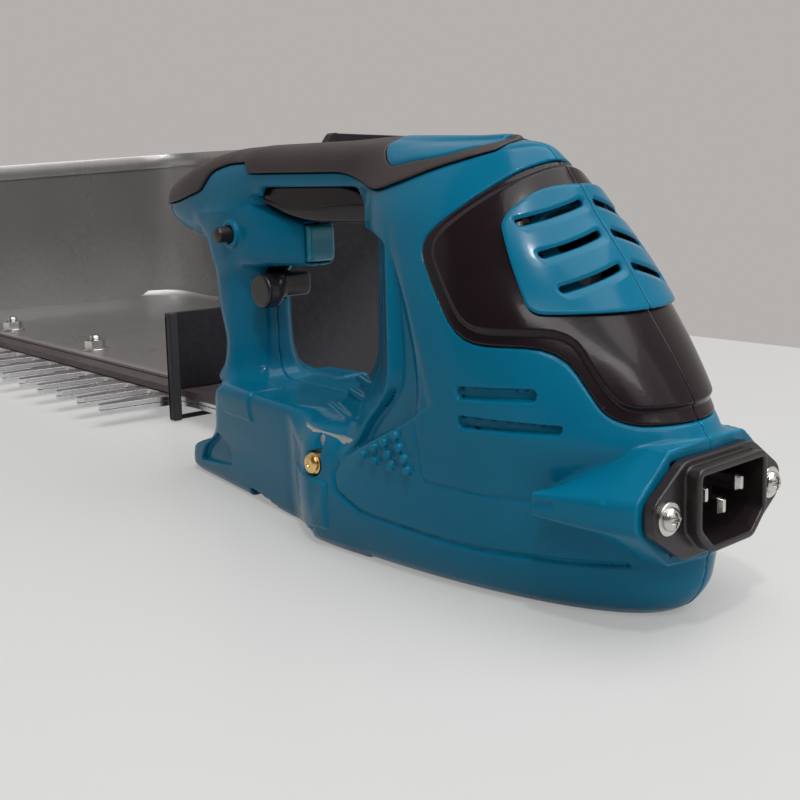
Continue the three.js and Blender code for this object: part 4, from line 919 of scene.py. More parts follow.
PANEL_RAISED = outline([
    (FAR_BACK, 50.6), (-84.5, 50.8, 3), (-80, 55.6, 3), (-71.5, 67.6, 5), (-49.3, 67.6, 6),
    (-33, 87.8, 8), (-41.5, 96.8, 6), (-49, 103.6, 4), (-55, 108.4), (-60, 125), (FAR_BACK, 125),
])
PANEL_RISE, VENT_RISE, VENT_FOOT = 1.3, 2.8, 1.1
VENT_SLOT_HEIGHTS = (96.8, 89.4, 81.6)
VENT_SLOT_INNER, VENT_SLOT_OUTER = 2, 19.2
VENT_SLOT_FALL = 4.2
VENT_SLOT_RADIUS = 0.8
FINE_STEP, VENT_STEP = 0.55, 0.5

panel_side, panel_raised = outline_table(panel_outline(0)), outline_table(PANEL_RAISED)
panel_window, vent_side = outline_table(vent_outline(-3)), outline_table(vent_outline(0))


def panel_field(x, out, z, side):
    skin = rear_body(x, out, z)
    raised = PANEL_RISE * ease(-panel_raised(x, z), -0.8, 1.2)
    inner, rim, window = (-(skin + SKIN), 0.3), (panel_side(x, z), 0.7), (-panel_window(x, z), 0.4)
    return trimmed(skin + 0.1 - raised, inner, rim, window, (PANEL_SEAM - out, 0.4))


def slot_field(y, z):
    """Distance to the nearest vent slot in end view."""
    best = np.inf
    for height in VENT_SLOT_HEIGHTS:
        start = (VENT_SLOT_INNER + VENT_SLOT_RADIUS, height)
        end = (VENT_SLOT_OUTER - VENT_SLOT_RADIUS, height - VENT_SLOT_FALL)
        best = np.minimum(best, line_distance([start, end], y, z))
    return best - VENT_SLOT_RADIUS


def vent_field(x, out, z, side):
    skin = rear_body(x, out, z)
    slot = slot_field(out, z)
    dish = 0.6 * (1 - ease(slot, 0, 1.2))
    inner, rim = (-(skin - VENT_FOOT), 0.4), (vent_side(x, z), 1.1)
    return trimmed(skin - VENT_RISE + dish, inner, rim, (-slot, 0.3), (VENT_SEAM - out, 0.6))


fit_halves(
    ("rear_panel_skin", "rear_panel", "dark_panel", panel_field, (-97, -25), 38, (47, 112), FINE_STEP),
    ("vent_cover_skin", "vent_cover", "teal_shell", vent_field, (-82, -47), 38, (70, 110), VENT_STEP),
)


# ---------------- grip cover, inset, lever, trigger, catch and lock button

RUBBER_RISE, INSET_RISE = 1.0, 1.3
PIN_BORE = 1.8
rubber_side = outline_table(rubber_outline(0))


def rubber_field(x, y, z):
    skin = top_field(x, y, z)
    hole = smooth_max(outline_field(inset_outline(SEAT_GAP), x, y), INSET_FOOT - SEAT_GAP - z, 0.3)
    return trimmed(skin - RUBBER_RISE, (-(skin + SKIN), 0.3), (rubber_side(x, z), 0.8), (-hole, 0.6))


def inset_field(x, y, z):
    skin = top_field(x, y, z)
    rim = outline_field(inset_outline(0), x, y)
    return trimmed(skin - INSET_RISE, (-(skin + SKIN), 0.3), (rim, 0.9), (INSET_FOOT + 0.1 - z, 0.3))


def pivoted(x, y, z, lever, rear_low, rear_high, half, pivot):
    """A lever with a flat tongue that ends round a hole for its pin."""
    px, pz = pivot
    nose = [(px, pz - 2.9), (px + 2.9, pz - 1), (px + 2.9, pz + 1), (px, pz + 2.9)]
    tongue = outline_field(outline([rear_low, *nose, rear_high], 1), x, z)
    lever = smooth_min(lever, smooth_max(tongue, np.abs(y) - half, 0.4), 0.4)
    return smooth_max(lever, -round_field(x, z, pivot, PIN_BORE), 0.2)


LEVER_SIDE = outline([
    (12.4, 90.6, 3), (12.4, 96.5, 3), (19.5, 100.6, 4), (27, 102, 3), (64, 102, 3), (68.6, 100.5, 2),
    (69.2, 97, 2), (58.5, 93.2, 5), (44, 90.6, 6),
])
LEVER_CREASE = [(12, 96.4), (24, 96), (40, 94.8), (54, 95), (70, 97.8)]
LEVER_HALF, LEVER_TOP = 10.2, 102
LEVER_PIVOT = (74, 97.5)
SPRING_POCKET = ((30, -5, 99.5), (40, 5, 104))


def lever_field(x, y, z):
    under = below(LEVER_CREASE, x, z)
    flank = np.abs(y) - LEVER_HALF + 0.6 * ease(under, 0.6, -0.6) + 0.12 * np.clip(under, 0, 6) ** 1.5
    shell = trimmed(outline_field(LEVER_SIDE, x, z), (flank, 1.2), (z - LEVER_TOP, 0.4))
    lever = pivoted(x, y, z, shell, (62, 95.5), (62, 100.5), 5.9, LEVER_PIVOT)
    return smooth_max(lever, -box_field(x, y, z, *SPRING_POCKET), 0.3)


TRIGGER_FACE, TRIGGER_STEM_Z = 49.4, 83
TRIGGER_HALF = 5
TRIGGER_SIDE = outline([
    (TRIGGER_FACE, 77.2, 3), (TRIGGER_FACE + 17, 77.2, 0.5), (TRIGGER_FACE + 17, 89.3, 0.5),
    (TRIGGER_FACE, 89.3, 2),
])


def trigger_field(x, y, z):
    """A button with a hollowed face, on a stem."""
    hollow = 0.5 * np.exp(-(((z - 83.5) / 4) ** 2)) * (1 - ease(x, TRIGGER_FACE, TRIGGER_FACE + 3))
    block = smooth_max(outline_field(TRIGGER_SIDE, x, z) + hollow, np.abs(y) - TRIGGER_HALF, 1.2)
    stem = smooth_max(round_field(y, z, (0, TRIGGER_STEM_Z), 2), span(x, 60, 73, 0.2), 0.4)
    return smooth_min(block, stem, 0.3)


CATCH_ARM = outline([(64, 73, 1.5), (64, 64.8, 3.5), (74.4, 65.6), (74.4, 73)])
CATCH_PIVOT = (82, 70)
CATCH_HUB = (70, 67.3)
CATCH_HUB_RADIUS = 5.8


def catch_field(x, y, z):
    arm = smooth_max(outline_field(CATCH_ARM, x, z), np.abs(y - 0.3) - 5.9, 1.6)
    hub = rod_y(x, y, z, CATCH_HUB, CATCH_HUB_RADIUS, 5.4, 11.6, 1.5)
    return pivoted(x, y, z, smooth_min(arm, hub, 1.5), (72, 66.8), (72, 72.9), 3.4, CATCH_PIVOT)


for made, node, slot, body in (
    (field_mesh("top_grip_rubber", rubber_field, (-39, -22.5, 94), (144, 22.5, 117), FINE_STEP),
     "top_grip", "grip_rubber", "body"),
    (field_mesh("grip_inset_plate", inset_field, (-36, -18, 103), (6, 18, 117), 0.6),
     "grip_inset", "teal_shell", "body"),
    (field_mesh("squeeze_lever_shell", lever_field, (11, -11, 89), (78, 11, 103), 0.6),
     "squeeze_lever", "dark_panel", "squeeze_lever"),
    (field_mesh("trigger_button", trigger_field, (48, -5.5, 77), (74, 5.5, 90), 0.4),
     "trigger", "teal_shell", "trigger"),
    (field_mesh("lock_off_catch", catch_field, (60, -6.5, 59), (86, 12.5, 75), 0.5),
     "lock_off_lever", "black_plastic", "lock_off_lever"),
    (lathe("lock_button_cap", [
        (0, 8.6), (3.8, 8.6), (3.8, 9.4), (2.7, 9.4), (2.7, 19.0), (2.5, 19.6), (2.0, 20), (0, 20),
    ], LOCK_CENTRE, "y"), "lock_button", "black_plastic", "lock_button"),
):
    fit(made, node, slot, body)


# ---------------- mains inlet and grease nipple

FLANGE_FACE = BOSS_FACE - 3
SHROUD_FACE = FLANGE_FACE - 3.6
SHROUD_WALL = 1.6
PIN_HALF, PIN_HOLE_HALF = (1.0, 2.0), (1.3, 2.3)
FLANGE_SHAPE = [
    (25, -3.2), (25, 3.2), (13.4, 11.3), (-13.4, 11.3), (-25, 3.2), (-25, -3.2), (-13.4, -11.3),
    (13.4, -11.3),
]
CAVITY_SHAPE = [(12.1, -3.7), (12.1, 8.3), (-12.1, 8.3), (-12.1, -3.7), (-7.5, -8.3), (7.5, -8.3)]
PIN_PLACES = [(7, 2.6), (-7, 2.6), (0, -1.4)]


def inlet_field(x, y, z):
    up = z - INLET_Z
    flange_side = outline_field(outline(FLANGE_SHAPE, 2.2), y, up)
    flange = smooth_max(flange_side, span(x, FLANGE_FACE, BOSS_FACE, 0.05), 0.5)
    cavity = outline_field(outline(CAVITY_SHAPE, 1.0), y, up)
    shroud = smooth_max(cavity - SHROUD_WALL, span(x, SHROUD_FACE, CAVITY_FLOOR + 3, 0.05), 0.6)
    body = smooth_min(flange, shroud, 0.6)
    body = smooth_max(body, -smooth_max(cavity, x - CAVITY_FLOOR, 0.05), 0.4)
    for y0 in (INLET_SCREW_Y, -INLET_SCREW_Y):
        body = smooth_max(body, -round_field(y, up, (y0, 0), 1.8), 0.3)
    for y0, z0 in PIN_PLACES:
        hole = smooth_max(np.abs(y - y0) - PIN_HOLE_HALF[0], np.abs(up - z0) - PIN_HOLE_HALF[1], 0.05)
        body = smooth_max(body, -np.maximum(hole, CAVITY_FLOOR - 1 - x), 0.05)
    return body


def pin(name, y0, z0):
    tip = CAVITY_FLOOR - 11.5
    sections = []
    for x, half_y, half_z in ((tip, 0.55, 1.5), (tip + 1.2, *PIN_HALF), (CAVITY_FLOOR + 4, *PIN_HALF)):
        ring = outline([(half_y, -half_z), (half_y, half_z), (-half_y, half_z), (-half_y, -half_z)], 0.5, 4)
        sections.append([(x, y0 + y, INLET_Z + z0 + z) for y, z in ring])
    return swept(name, sections)


def pin_set():
    """The three pins on a strip behind the cavity's floor."""
    shape = outline([(-8, -3.4), (8, -3.4), (8, 4.6), (-8, 4.6)], 1)
    strip = prism("pin_strip", shape, CAVITY_FLOOR + 3.3, CAVITY_FLOOR + 5.3, "x")
    strip.data.transform(Matrix.Translation((0, 0, INLET_Z * MM)))
    pins = [pin(f"pin_{i}", y, z) for i, (y, z) in enumerate(PIN_PLACES)]
    return sharp_over(joined("inlet_pin_set", [strip, *pins]), 35)


CROSS_HALF, CROSS_REACH = 0.42, 1.7


def cross_head(name, centre, face):
    """A domed screw head with a cross recess, whose axis is along X."""

    def field(x, y, z):
        dy, dz = y - centre[0], z - centre[1]
        radial = np.sqrt(dy * dy + dz * dz)
        dome = np.sqrt((x - face - 1.2) ** 2 + radial**2) - 3.2
        upright = smooth_max(np.abs(dy) - CROSS_HALF, np.abs(dz) - CROSS_REACH, 0.1)
        level = smooth_max(np.abs(dz) - CROSS_HALF, np.abs(dy) - CROSS_REACH, 0.1)
        recess = smooth_max(np.minimum(upright, level), x - face + 1.0 - 0.35 * radial, 0.15)
        head = trimmed(dome, (radial - 2.7, 0.3), (x - face, 0.2), (-recess, 0.15))
        shank = smooth_max(radial - 1.5, span(x, face - 0.5, -90, 0.1), 0.2)
        return np.minimum(head, shank)

    low, high = ([middle + way * 3.4 for middle in centre] for way in (-1, 1))
    return field_mesh(name, field, (face - 2.4, *low), (-89.8, *high), 0.25)


fit(field_mesh("inlet_body_shell", inlet_field, (-102.6, -26, 17), (-84.5, 26, 43), 0.5),
    "inlet_body", "black_plastic")
fit(pin_set(), "inlet_pins", "steel_parts")
WASHER_FACE = FLANGE_FACE - 0.8
for side_name, y0 in (("left", INLET_SCREW_Y), ("right", -INLET_SCREW_Y)):
    washer = lathe(f"inlet_washer_ring_{side_name}", [
        (2.0, WASHER_FACE), (3.6, WASHER_FACE), (3.8, WASHER_FACE + 0.2), (3.8, FLANGE_FACE),
        (2.0, FLANGE_FACE), (2.0, WASHER_FACE),
    ], (y0, INLET_Z), "x")
    screw = cross_head(f"inlet_screw_head_{side_name}", (y0, INLET_Z), WASHER_FACE)
    fit(washer, f"inlet_washer_{side_name}", "steel_parts")
    fit(screw, f"inlet_screw_{side_name}", "steel_parts")

NIPPLE_SEAT = HALF_WIDTH - WALL
fit(lathe("grease_nipple_turned", [
    (0, NIPPLE_SEAT - 2), (1.9, NIPPLE_SEAT - 2), (1.9, NIPPLE_SEAT), (3.1, NIPPLE_SEAT), (3.1, 34.2),
    (2.3, 34.5), (2.2, 34.7), (2.6, 35.0), (2.75, 35.3), (2.4, 35.7), (1.4, 36.0), (0.9, 36.0),
    (0.7, 35.6), (0, 35.5),
], NIPPLE_CENTRE, "y", 32), "grease_nipple", "brass_parts")


# ---------------- blades, bar and bolts

BLADE_THICKNESS, BAR_THICKNESS, SHEET = 2, 3, 1.2
LOWER_Z = 5.4
UPPER_Z = LOWER_Z + BLADE_THICKNESS + SEAT_GAP
BAR_Z = UPPER_Z + BLADE_THICKNESS + SEAT_GAP
FLOOR_Z = BAR_Z + BAR_THICKNESS + SEAT_GAP
FLOOR_TOP = FLOOR_Z + SHEET
BLADE_ROOT, BLADE_BACK = -22, -54
TOOTH_PITCH, TOOTH_COUNT, FIRST_TOOTH = 22, 13, 200
TOOTH_LENGTH, TOOTH_ROOT, TOOTH_TIP = 33, 11, 5
BLADE_END = FIRST_TOOTH + TOOTH_PITCH * (TOOTH_COUNT - 1) + 14
BOLT_Y, BOLT_RADIUS, BOLT_PLACES = -43, 2.9, (201, 316, 431)
CAM_WINDOW = (18.5, 13.5)
BLADE_SLIDE = 5
NUT_HOLE = 3.15
THREAD_DEPTH, THREAD_PITCH = 0.35, 0.8


def comb_shape():
    comb = [(-26, 19, 4), (24, 19, 6), (60, -6, 10), (96, BLADE_ROOT - 3, 8)]
    comb.append((FIRST_TOOTH - TOOTH_PITCH * 0.7, BLADE_ROOT - 3, 4))
    tip = BLADE_ROOT + TOOTH_LENGTH
    for i in range(TOOTH_COUNT):
        x = FIRST_TOOTH + i * TOOTH_PITCH
        comb += [(x - TOOTH_ROOT / 2, BLADE_ROOT, 2), (x - TOOTH_TIP / 2, tip - 1.5, 1.2), (x, tip, 2.2)]
        comb += [(x + TOOTH_TIP / 2, tip - 1.5, 1.2), (x + TOOTH_ROOT / 2, BLADE_ROOT, 2)]
    comb += [(BLADE_END, BLADE_ROOT), (BLADE_END, BLADE_BACK, 4), (88, BLADE_BACK, 6), (36, -19, 10)]
    return outline([*comb, (-26, -19, 4)], 0, 4)


def bolt_slot(x, half, radius, samples=16):
    """A slot with round ends about a bolt."""
    ends = circle((0, 0), radius, samples, (1 - samples / 2) * math.pi / samples)
    return [(x + u + math.copysign(half - radius, u), BOLT_Y + v) for u, v in ends]


def blade(name, z):
    wx, wy = CAM_WINDOW
    window = outline([(-wx, -wy), (wx, -wy), (wx, wy), (-wx, wy)], 1)
    slot_radius = BOLT_RADIUS + 0.4
    slots = [bolt_slot(x, BLADE_SLIDE + slot_radius, slot_radius) for x in BOLT_PLACES]
    return prism(name, comb_shape(), z, z + BLADE_THICKNESS, holes=[window, *slots], bevel=0.45)


def guard_bar():
    shape = outline([
        (44, 12, 4), (70, 12, 6), (100, BLADE_ROOT - 1, 8), (BLADE_END + 4, BLADE_ROOT - 1, 3),
        (BLADE_END + 4, BLADE_BACK + 2, 3), (84, BLADE_BACK + 2, 8), (44, -16, 6),
    ])
    holes = [circle((x, BOLT_Y), BOLT_RADIUS + 0.3) for x in BOLT_PLACES]
    holes += [circle(at, 2.3) for at in ((54, -8), (54, 6))]
    return prism("guard_bar", shape, BAR_Z, BAR_Z + BAR_THICKNESS, holes=holes, bevel=0.8, segments=3)


def hexagon(centre, flat, turn=0.0):
    """Corners from the distance between the centre and a flat side."""
    return circle(centre, flat / math.cos(math.pi / 6), 6, turn)


def hex_nut(name, x, y, z):
    top = z + 1.1
    washer = lathe("washer_part", [
        (NUT_HOLE, z), (6.9, z), (7, z + 0.15), (7, z + 0.9), (6.8, top), (NUT_HOLE, top), (NUT_HOLE, z),
    ], (x, y))
    hole = circle((x, y), NUT_HOLE, 24)
    nut = prism("nut_part", hexagon((x, y), 4.8, 0.3), top, z + 5.3, holes=[hole], bevel=0.5)
    return joined(name, [washer, nut])


def bolt(name, x):
    seat = LOWER_Z - SEAT_GAP
    head = prism("head_part", hexagon((x, BOLT_Y), 5.1), seat - 2.4, seat, bevel=0.4)
    z = seat - 0.4
    rows = [(0, z)]
    while z < FLOOR_TOP + 7.2:
        rows += [(BOLT_RADIUS, z), (BOLT_RADIUS - THREAD_DEPTH, z + THREAD_PITCH / 2)]
        z += THREAD_PITCH
    rows += [(BOLT_RADIUS - 0.6, FLOOR_TOP + 8), (0, FLOOR_TOP + 8)]
    return joined(name, [head, lathe("shank_part", rows, (x, BOLT_Y), sides=24)])


fit(blade("upper_comb", UPPER_Z), "upper_blade", "blade_steel", "upper_blade")
fit(blade("lower_comb", LOWER_Z), "lower_blade", "blade_steel", "lower_blade")
fit(guard_bar(), "blade_bar", "bar_metal")
for i, x in enumerate(BOLT_PLACES, 1):
    fit(bolt(f"comb_bolt_{i}", x), f"blade_bolt_{i}", "steel_parts")
    fit(hex_nut(f"floor_nut_{i}", x, BOLT_Y, FLOOR_TOP), f"tray_nut_{i}", "steel_parts")


# ---------------- tray

PLATE_X, PLATE_THICKNESS = 187.4, 2
PLATE_OUTER = PLATE_X + PLATE_THICKNESS
TRAY_END, TRAY_BACK, TRAY_FRONT = 490, -203, -17
TRAY_HEIGHT, LOW_HEIGHT, TRAY_CORNER = 123, 47.5, 40
TRAY_FALL = 10
HEM_WIDTH, HEM_DEPTH = 4, 4.6
NOTCH_BACK, NOTCH_FRONT = BLADE_BACK - 1.5, BLADE_ROOT + 0.8
FLOOR_NEAR = PLATE_OUTER + SEAT_GAP
RAMP, RAMP_RISE = 32, 6
CORNER_STEPS = 16


def wall_path():
    """Plan of the wall's outer face: along the back, round the corner and forward."""
    path = [(x, TRAY_BACK) for x in np.linspace(FLOOR_NEAR, TRAY_END - TRAY_CORNER, 12)]
    for k in range(1, CORNER_STEPS):
        turn = math.pi / 2 * k / CORNER_STEPS
        x = TRAY_END - TRAY_CORNER + TRAY_CORNER * math.sin(turn)
        path.append((x, TRAY_BACK + TRAY_CORNER - TRAY_CORNER * math.cos(turn)))
    return path + [(TRAY_END, y) for y in np.linspace(TRAY_BACK + TRAY_CORNER, TRAY_FRONT - 6, 10)]


def wall_mesh():
    """A bent sheet with its top edge folded over to the inside. It falls toward the front."""
    path = np.array(wall_path())
    ways = np.gradient(path, axis=0)
    ways /= np.linalg.norm(ways, axis=1)[:, None]
    sections = []
    for (x, y), (wx, wy) in zip(path, ways):
        forward = (y - TRAY_BACK) / (TRAY_FRONT - TRAY_BACK)
        top = TRAY_HEIGHT - TRAY_FALL * min(max(forward, 0), 1)
        profile = [
            (0, 0), (0, top - 0.6), (0.5, top), (2.1, top), (2.6, top - 0.6), (2.6, top - 9),
            (2.3, top - 9.4), (1.4, top - 9.2), (SHEET, top - 9.6), (SHEET, 0),
        ]
        sections.append([(x - wy * d, y + wx * d, z) for d, z in profile])
    return sharp_over(swept("tray_wall_sheet", sections), 40)


def floor_mesh():
    """A sheet with a cove along the wall and a ramp at the far end."""
    far = TRAY_END - SHEET
    front, back = BLADE_ROOT - 10, TRAY_BACK + SHEET + SEAT_GAP
    level = np.linspace(FLOOR_NEAR, far - RAMP, 20)
    rising = np.linspace(far - RAMP, far - SEAT_GAP, 9)[1:]
    sections = []
    for x in np.concatenate([level, rising]):
        along = max(0, x - (far - TRAY_CORNER))
        wall = back + TRAY_CORNER - math.sqrt(max(0, TRAY_CORNER**2 - along**2))
        ramp = RAMP_RISE * float(ease(x, far - RAMP, far - SEAT_GAP))
        top = []
        for share in np.linspace(0, 1, 30):
            y = front + (wall - front) * share
            cove = 5.0 * float(ease(y, wall + 9, wall)) if share > 0.8 else 0.0
            top.append((x, y, FLOOR_TOP + ramp + max(0, cove - 0.2 * ramp)))
        sections.append(top + [(x, y, z - SHEET) for x, y, z in reversed(top)])
    return sharp_over(swept("tray_floor_sheet", sections), 50)


def plate_mesh():
    """The near end plate, hemmed in front and where it rises. The blades run through its notch."""
    peak = TRAY_HEIGHT + 1.5
    shape = outline([
        (TRAY_BACK, 0), (TRAY_FRONT, 0, 1), (TRAY_FRONT, LOW_HEIGHT, 2), (-48, LOW_HEIGHT, 4),
        (-108, peak, 5), (TRAY_BACK, TRAY_HEIGHT - 1, 8),
    ])
    hem_back, hem_near = TRAY_FRONT - HEM_WIDTH, PLATE_OUTER - HEM_DEPTH
    front = [(hem_back, 0.2), (TRAY_FRONT, 0.2), (TRAY_FRONT, LOW_HEIGHT), (hem_back, LOW_HEIGHT)]
    rising = outline([(-108, peak, 2), (-112, peak, 2), (-56, LOW_HEIGHT, 1), (-48, LOW_HEIGHT, 1)])
    low, high = LOWER_Z - SEAT_GAP - 3.2, BAR_Z + BAR_THICKNESS + 0.2
    notch = [(NOTCH_BACK, low), (NOTCH_FRONT, low), (NOTCH_FRONT, high), (NOTCH_BACK, high)]
    return joined("near_end_plate_sheet", [
        prism("plate_part", shape, PLATE_X, PLATE_OUTER, "x", holes=[notch], bevel=0.5, segments=3),
        prism("hem_part", outline(front, 0.8), hem_near, PLATE_OUTER, "x", bevel=1.0, segments=3),
        prism("high_hem_part", rising, hem_near, PLATE_OUTER, "x", bevel=1.0, segments=3),
    ])


fit(wall_mesh(), "tray_wall", "tray_sheet")
fit(floor_mesh(), "tray_floor", "tray_sheet")
fit(plate_mesh(), "near_end_plate", "plate_paint")


# ---------------- materials


def painter(name):
    """A material and a function that adds its nodes. Inputs are values or other nodes' outputs."""
    material = bpy.data.materials.new(name)
    material.use_nodes = True
    tree = material.node_tree
    tree.nodes.clear()

    def add(kind, inputs, output=0, **settings):
        node = tree.nodes.new(f"ShaderNode{kind}")
        for key, value in settings.items():
            setattr(node, key, value)
        for key, value in inputs.items():
            if isinstance(value, bpy.types.NodeSocket):
                tree.links.new(value, node.inputs[key])
            else:
                node.inputs[key].default_value = value
        return node.outputs[output] if len(node.outputs) else None

    return material, add


def noise(add, place, scale, detail=4.0, roughness=0.55):
    return add("TexNoise", {"Vector": place, "Scale": scale, "Detail": detail, "Roughness": roughness}, "Fac")


def ramp(add, value, *stops):
    """Two colours, each at a position of the value, and the change between them."""
    colour = add("ValToRGB", {"Fac": value}, "Color")
    for element, (position, stop) in zip(colour.node.color_ramp.elements, stops):
        element.position = position
        element.color = (*stop, 1)
    return colour


def grey(level):
    return (level, level, level)


def from_srgb(r, g, b):
    def linear(v):
        v /= 255
        return v / 12.92 if v <= 0.04045 else ((v + 0.055) / 1.055) ** 2.4

    return tuple(linear(v) for v in (r, g, b))


def shaded(base, share):
    return tuple(min(1, c * share) for c in base)


GLOSS_SPREAD = 0.06
COAT_ROUGHNESS = 0.06
GRAIN_DEPTH = 0.0004
EDGE_START, EDGE_FULL = 0.545, 0.6


def surface(name, base, roughness, metallic=0.0, *, wear, wear_amount=0.35, vary=0.08, cloud=30.0,
            grain=900.0, bump=0.06, coat=0.0, brushed=None, specular=0.5):
    """A moulded, painted or metal finish: cloudy colour, uneven gloss, fine grain and worn edges."""
    material, add = painter(name)
    place = add("TexCoord", {}, "Object")
    clouds = noise(add, place, cloud)
    colour = ramp(add, clouds, (0.3, shaded(base, 1 - vary)), (0.7, shaded(base, 1 + vary)))
    edges = add("NewGeometry", {}, "Pointiness")
    scratched = {0: noise(add, place, 260.0, 6.0, 0.7), 1: 0.05, 2: edges}
    lifted = add("Math", scratched, operation="MULTIPLY_ADD")
    mask = ramp(add, lifted, (EDGE_START, grey(0)), (EDGE_FULL, grey(wear_amount)))
    colour = add("Mix", {"Factor": mask, 6: colour, 7: (*wear, 1)}, 2, data_type="RGBA")
    smudges = noise(add, place, cloud * 2.3, 6.0, 0.6)
    low, high = grey(max(roughness - GLOSS_SPREAD, 0.02)), grey(roughness + GLOSS_SPREAD)
    if brushed is not None:
        stretched = add("Mapping", {"Vector": place, "Scale": brushed}, "Vector")
        height = noise(add, stretched, 420.0, 3.0, 0.6)
    else:
        height = noise(add, place, grain, 3.0, 0.5)
    relief = add("Bump", {"Strength": bump, "Distance": GRAIN_DEPTH, "Height": height}, "Normal")
    shader = add("BsdfPrincipled", {
        "Base Color": colour,
        "Roughness": ramp(add, smudges, (0.32, low), (0.72, high)),
        "Metallic": metallic,
        "Coat Weight": coat,
        "Coat Roughness": COAT_ROUGHNESS,
        "Specular IOR Level": specular,
        "Normal": relief,
    })
    add("OutputMaterial", {"Surface": shader})
    return material


TEAL = from_srgb(5, 104, 135)
# A lighter teal for the trigger button: the shell's own teal with painted light, as if lit from behind.
TRIGGER_PAINTED_LIGHT_TEAL = from_srgb(40, 132, 152)
DARK = from_srgb(30, 20, 24)
RUBBER = from_srgb(52, 44, 43)
BLACK = from_srgb(34, 28, 29)

finishes = {
    "teal_shell": surface("teal_gloss", TEAL, 0.22, vary=0.06, coat=0.08, wear=shaded(TEAL, 1.9),
                          wear_amount=0.25, bump=0.04, cloud=22.0, specular=0.12),
    "dark_panel": surface("dark_gloss", DARK, 0.2, vary=0.12, coat=0.1, wear=shaded(DARK, 3),
                          wear_amount=0.3, bump=0.05, specular=0.2),
    "grip_rubber": surface("soft_rubber", RUBBER, 0.5, vary=0.12, grain=1500.0, bump=0.3,
                           wear=shaded(RUBBER, 2), wear_amount=0.3, specular=0.4),
    "black_plastic": surface("black_moulding", BLACK, 0.32, vary=0.15, bump=0.12, wear=shaded(BLACK, 3)),
    "steel_parts": surface("bright_steel", (0.62, 0.6, 0.57), 0.24, 1.0, vary=0.1,
                           wear=(0.85, 0.84, 0.82), bump=0.08),
    "blade_steel": surface("blade_steel", (0.72, 0.71, 0.72), 0.26, 1.0, wear=(0.9, 0.9, 0.9),
                           bump=0.15, brushed=(0.2, 1, 1)),
    "bar_metal": surface("coated_bar", from_srgb(84, 72, 74), 0.42, 0.5, vary=0.15,
                         wear=(0.4, 0.38, 0.37), bump=0.2),
    "tray_sheet": surface("tray_sheet", from_srgb(146, 143, 142), 0.32, 0.6, cloud=9.0,
                          wear=(0.75, 0.74, 0.73), bump=0.08, brushed=(0.05, 1, 1)),
    "plate_paint": surface("plate_paint", from_srgb(27, 25, 29), 0.4, 0.1, vary=0.12,
                           wear=(0.3, 0.3, 0.32), wear_amount=0.1, bump=0.2, specular=0.2),
    "brass_parts": surface("brass", (0.72, 0.46, 0.17), 0.24, 1.0, vary=0.12, wear=(0.95, 0.75, 0.4),
                           bump=0.1),
    "cast_metal": surface("cast_metal", (0.42, 0.43, 0.45), 0.5, 0.9, vary=0.15, wear=(0.7, 0.7, 0.7),
                          bump=0.5, grain=500.0),
}
own_finishes = {
    "armature": surface("copper_winding", (0.55, 0.24, 0.11), 0.35, 0.9, vary=0.2, wear=(0.85, 0.5, 0.3),
                        bump=0.5, brushed=(1, 1, 0.1)),
    # The trigger button's lighter teal is painted light over the shell's teal, not a colour of its own.
    "trigger_button": surface("trigger_painted_light_teal", TRIGGER_PAINTED_LIGHT_TEAL, 0.25, vary=0.06, coat=0.1,
                              wear=shaded(TEAL, 2.2), wear_amount=0.25, bump=0.05, specular=0.4),
}
INNER_SLOTS = {
    "cast_metal": ("gear_case", "gear_case_cover", "sole_plate", "motor_stator"),
    "black_plastic": ("cooling_fan", "bearing_bracket", "switch_body", "carbon_brush_left",
                      "carbon_brush_right"),
    "brass_parts": ("brush_holder",),
}
inner_slot = {name: slot for slot, names in INNER_SLOTS.items() for name in names}
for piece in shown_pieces():
    wanted = piece.get("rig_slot") or inner_slot.get(piece.name, "steel_parts")
    piece.data.materials.clear()
    piece.data.materials.append(own_finishes.get(piece.name, finishes[wanted]))


# ---------------- floor, backdrop, light and camera


def seen(add):
    """1 for rays that show the stage to the camera, straight or by way of gloss or glass."""
    total = add("LightPath", {}, "Is Camera Ray")
    rays = total.node.outputs
    for kind in ("Is Glossy Ray", "Is Transmission Ray"):
        total = add("Math", {0: total, 1: rays[kind]}, operation="MAXIMUM")
    return total


def plain(name, colour, roughness, glow, own_light):
    """A stage finish: own_light is how much of what is seen comes from glow, the rest from the lamps."""
    material, add = painter(name)
    finish = {"Base Color": (*colour, 1), "Roughness": roughness, "Specular IOR Level": 0.3}
    share = add("Math", {0: seen(add), 1: own_light}, operation="MULTIPLY")
    light = add("Emission", {"Color": (*glow, 1)})
    mixed = add("MixShader", {0: share, 1: add("BsdfPrincipled", finish), 2: light})
    add("OutputMaterial", {"Surface": mixed})
    return material


BACKDROP = from_srgb(180, 176, 173)
floor_finish = plain("floor_finish", from_srgb(212, 212, 211), 0.3, from_srgb(212, 211, 209), 0.45)
wall_finish = plain("backdrop_finish", BACKDROP, 0.8, BACKDROP, 1.0)

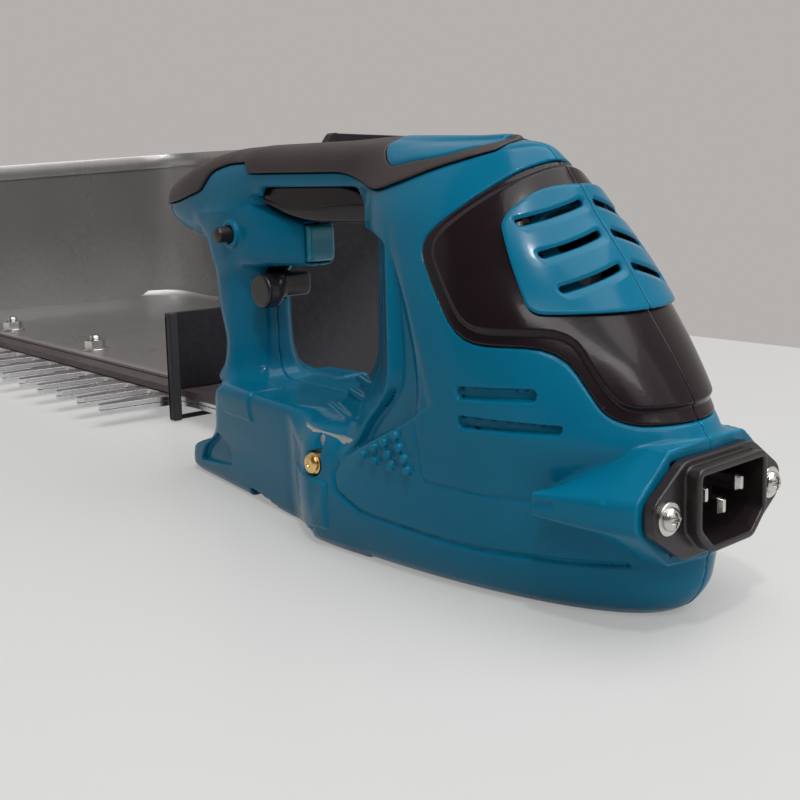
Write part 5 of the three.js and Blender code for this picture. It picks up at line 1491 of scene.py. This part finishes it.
FAR, TABLE_EDGE, FLOOR_LEVEL = 3000, -366, -0.2
WALL_FOOT, WALL_TOP, WALL_BACK, WALL_SIDE = -1, 2500, -1500, 1500
for name, material, low, side, high in (
    ("floor", floor_finish,
     (-FAR, TABLE_EDGE, FLOOR_LEVEL), (FAR, TABLE_EDGE, FLOOR_LEVEL), (FAR, FAR, FLOOR_LEVEL)),
    ("floor_behind", wall_finish,
     (-FAR, -FAR, FLOOR_LEVEL), (FAR, -FAR, FLOOR_LEVEL), (FAR, TABLE_EDGE, FLOOR_LEVEL)),
    ("backdrop", wall_finish,
     (-FAR, WALL_BACK, WALL_FOOT), (FAR, WALL_BACK, WALL_FOOT), (FAR, WALL_BACK, WALL_TOP)),
    ("side_backdrop", wall_finish,
     (WALL_SIDE, -FAR, WALL_FOOT), (WALL_SIDE, FAR, WALL_FOOT), (WALL_SIDE, FAR, WALL_TOP)),
):
    corners = [low, side, high, np.add(low, high) - side]
    sheet = mesh_object(name, corners, [(0, 1, 2, 3)])
    sheet.data.materials.append(material)
    sheet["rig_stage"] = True

for name, place, target, width, depth, power in (
    ("ceiling", (-300, -300, 1400), (0, 0, 0), 1500, 1500, 19),
    ("left_strip", (-800, 500, 900), (0, 0, 60), 1300, 120, 4),
    ("rear_lamp", (-1300, -200, 900), (-40, 0, 60), 1100, 1100, 3),
    ("spot", (-500, 400, 1200), (-40, 0, 60), 90, 90, 4),
):
    lamp = bpy.data.lights.new(name, "AREA")
    lamp.shape = "RECTANGLE"
    lamp.size, lamp.size_y = width * MM, depth * MM
    lamp.energy = power
    made = linked(name, lamp)
    made.location = Vector(place) * MM
    made.rotation_euler = (Vector(target) - Vector(place)).to_track_quat("-Z", "Y").to_euler()

scene.world = bpy.data.worlds.new("studio")
scene.world.use_nodes = True
background = scene.world.node_tree.nodes["Background"]
background.inputs["Color"].default_value = (0.86, 0.9, 0.92, 1)
background.inputs["Strength"].default_value = 0.11

# The photograph's camera: its view and lens, shifted down for the frame's white foot.
CAMERA_PLACE = (-236.05, 211.59, 105.42)
CAMERA_RIGHT = (-0.65087, -0.7588, -0.02421)
CAMERA_DOWN = (-0.08843, 0.10745, -0.99027)
CAMERA_FORWARD = (0.75402, -0.6424, -0.13704)
lens = bpy.data.cameras.new("camera")
lens.sensor_width = 36
lens.lens = 49.5
lens.shift_y = -0.095
lens.clip_start, lens.clip_end = 0.01, 20
scene.camera = linked("camera", lens)
axes = [Vector(CAMERA_RIGHT), -Vector(CAMERA_DOWN), -Vector(CAMERA_FORWARD)]
turn = Matrix([list(a) for a in axes]).transposed()
scene.camera.matrix_world = Matrix.Translation(Vector(CAMERA_PLACE) * MM) @ turn.to_4x4()
scene.view_settings.view_transform = "Standard"

low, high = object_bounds()
{"cad": [list(cad_low), list(cad_high)], "visual": [list(low), list(high)]}
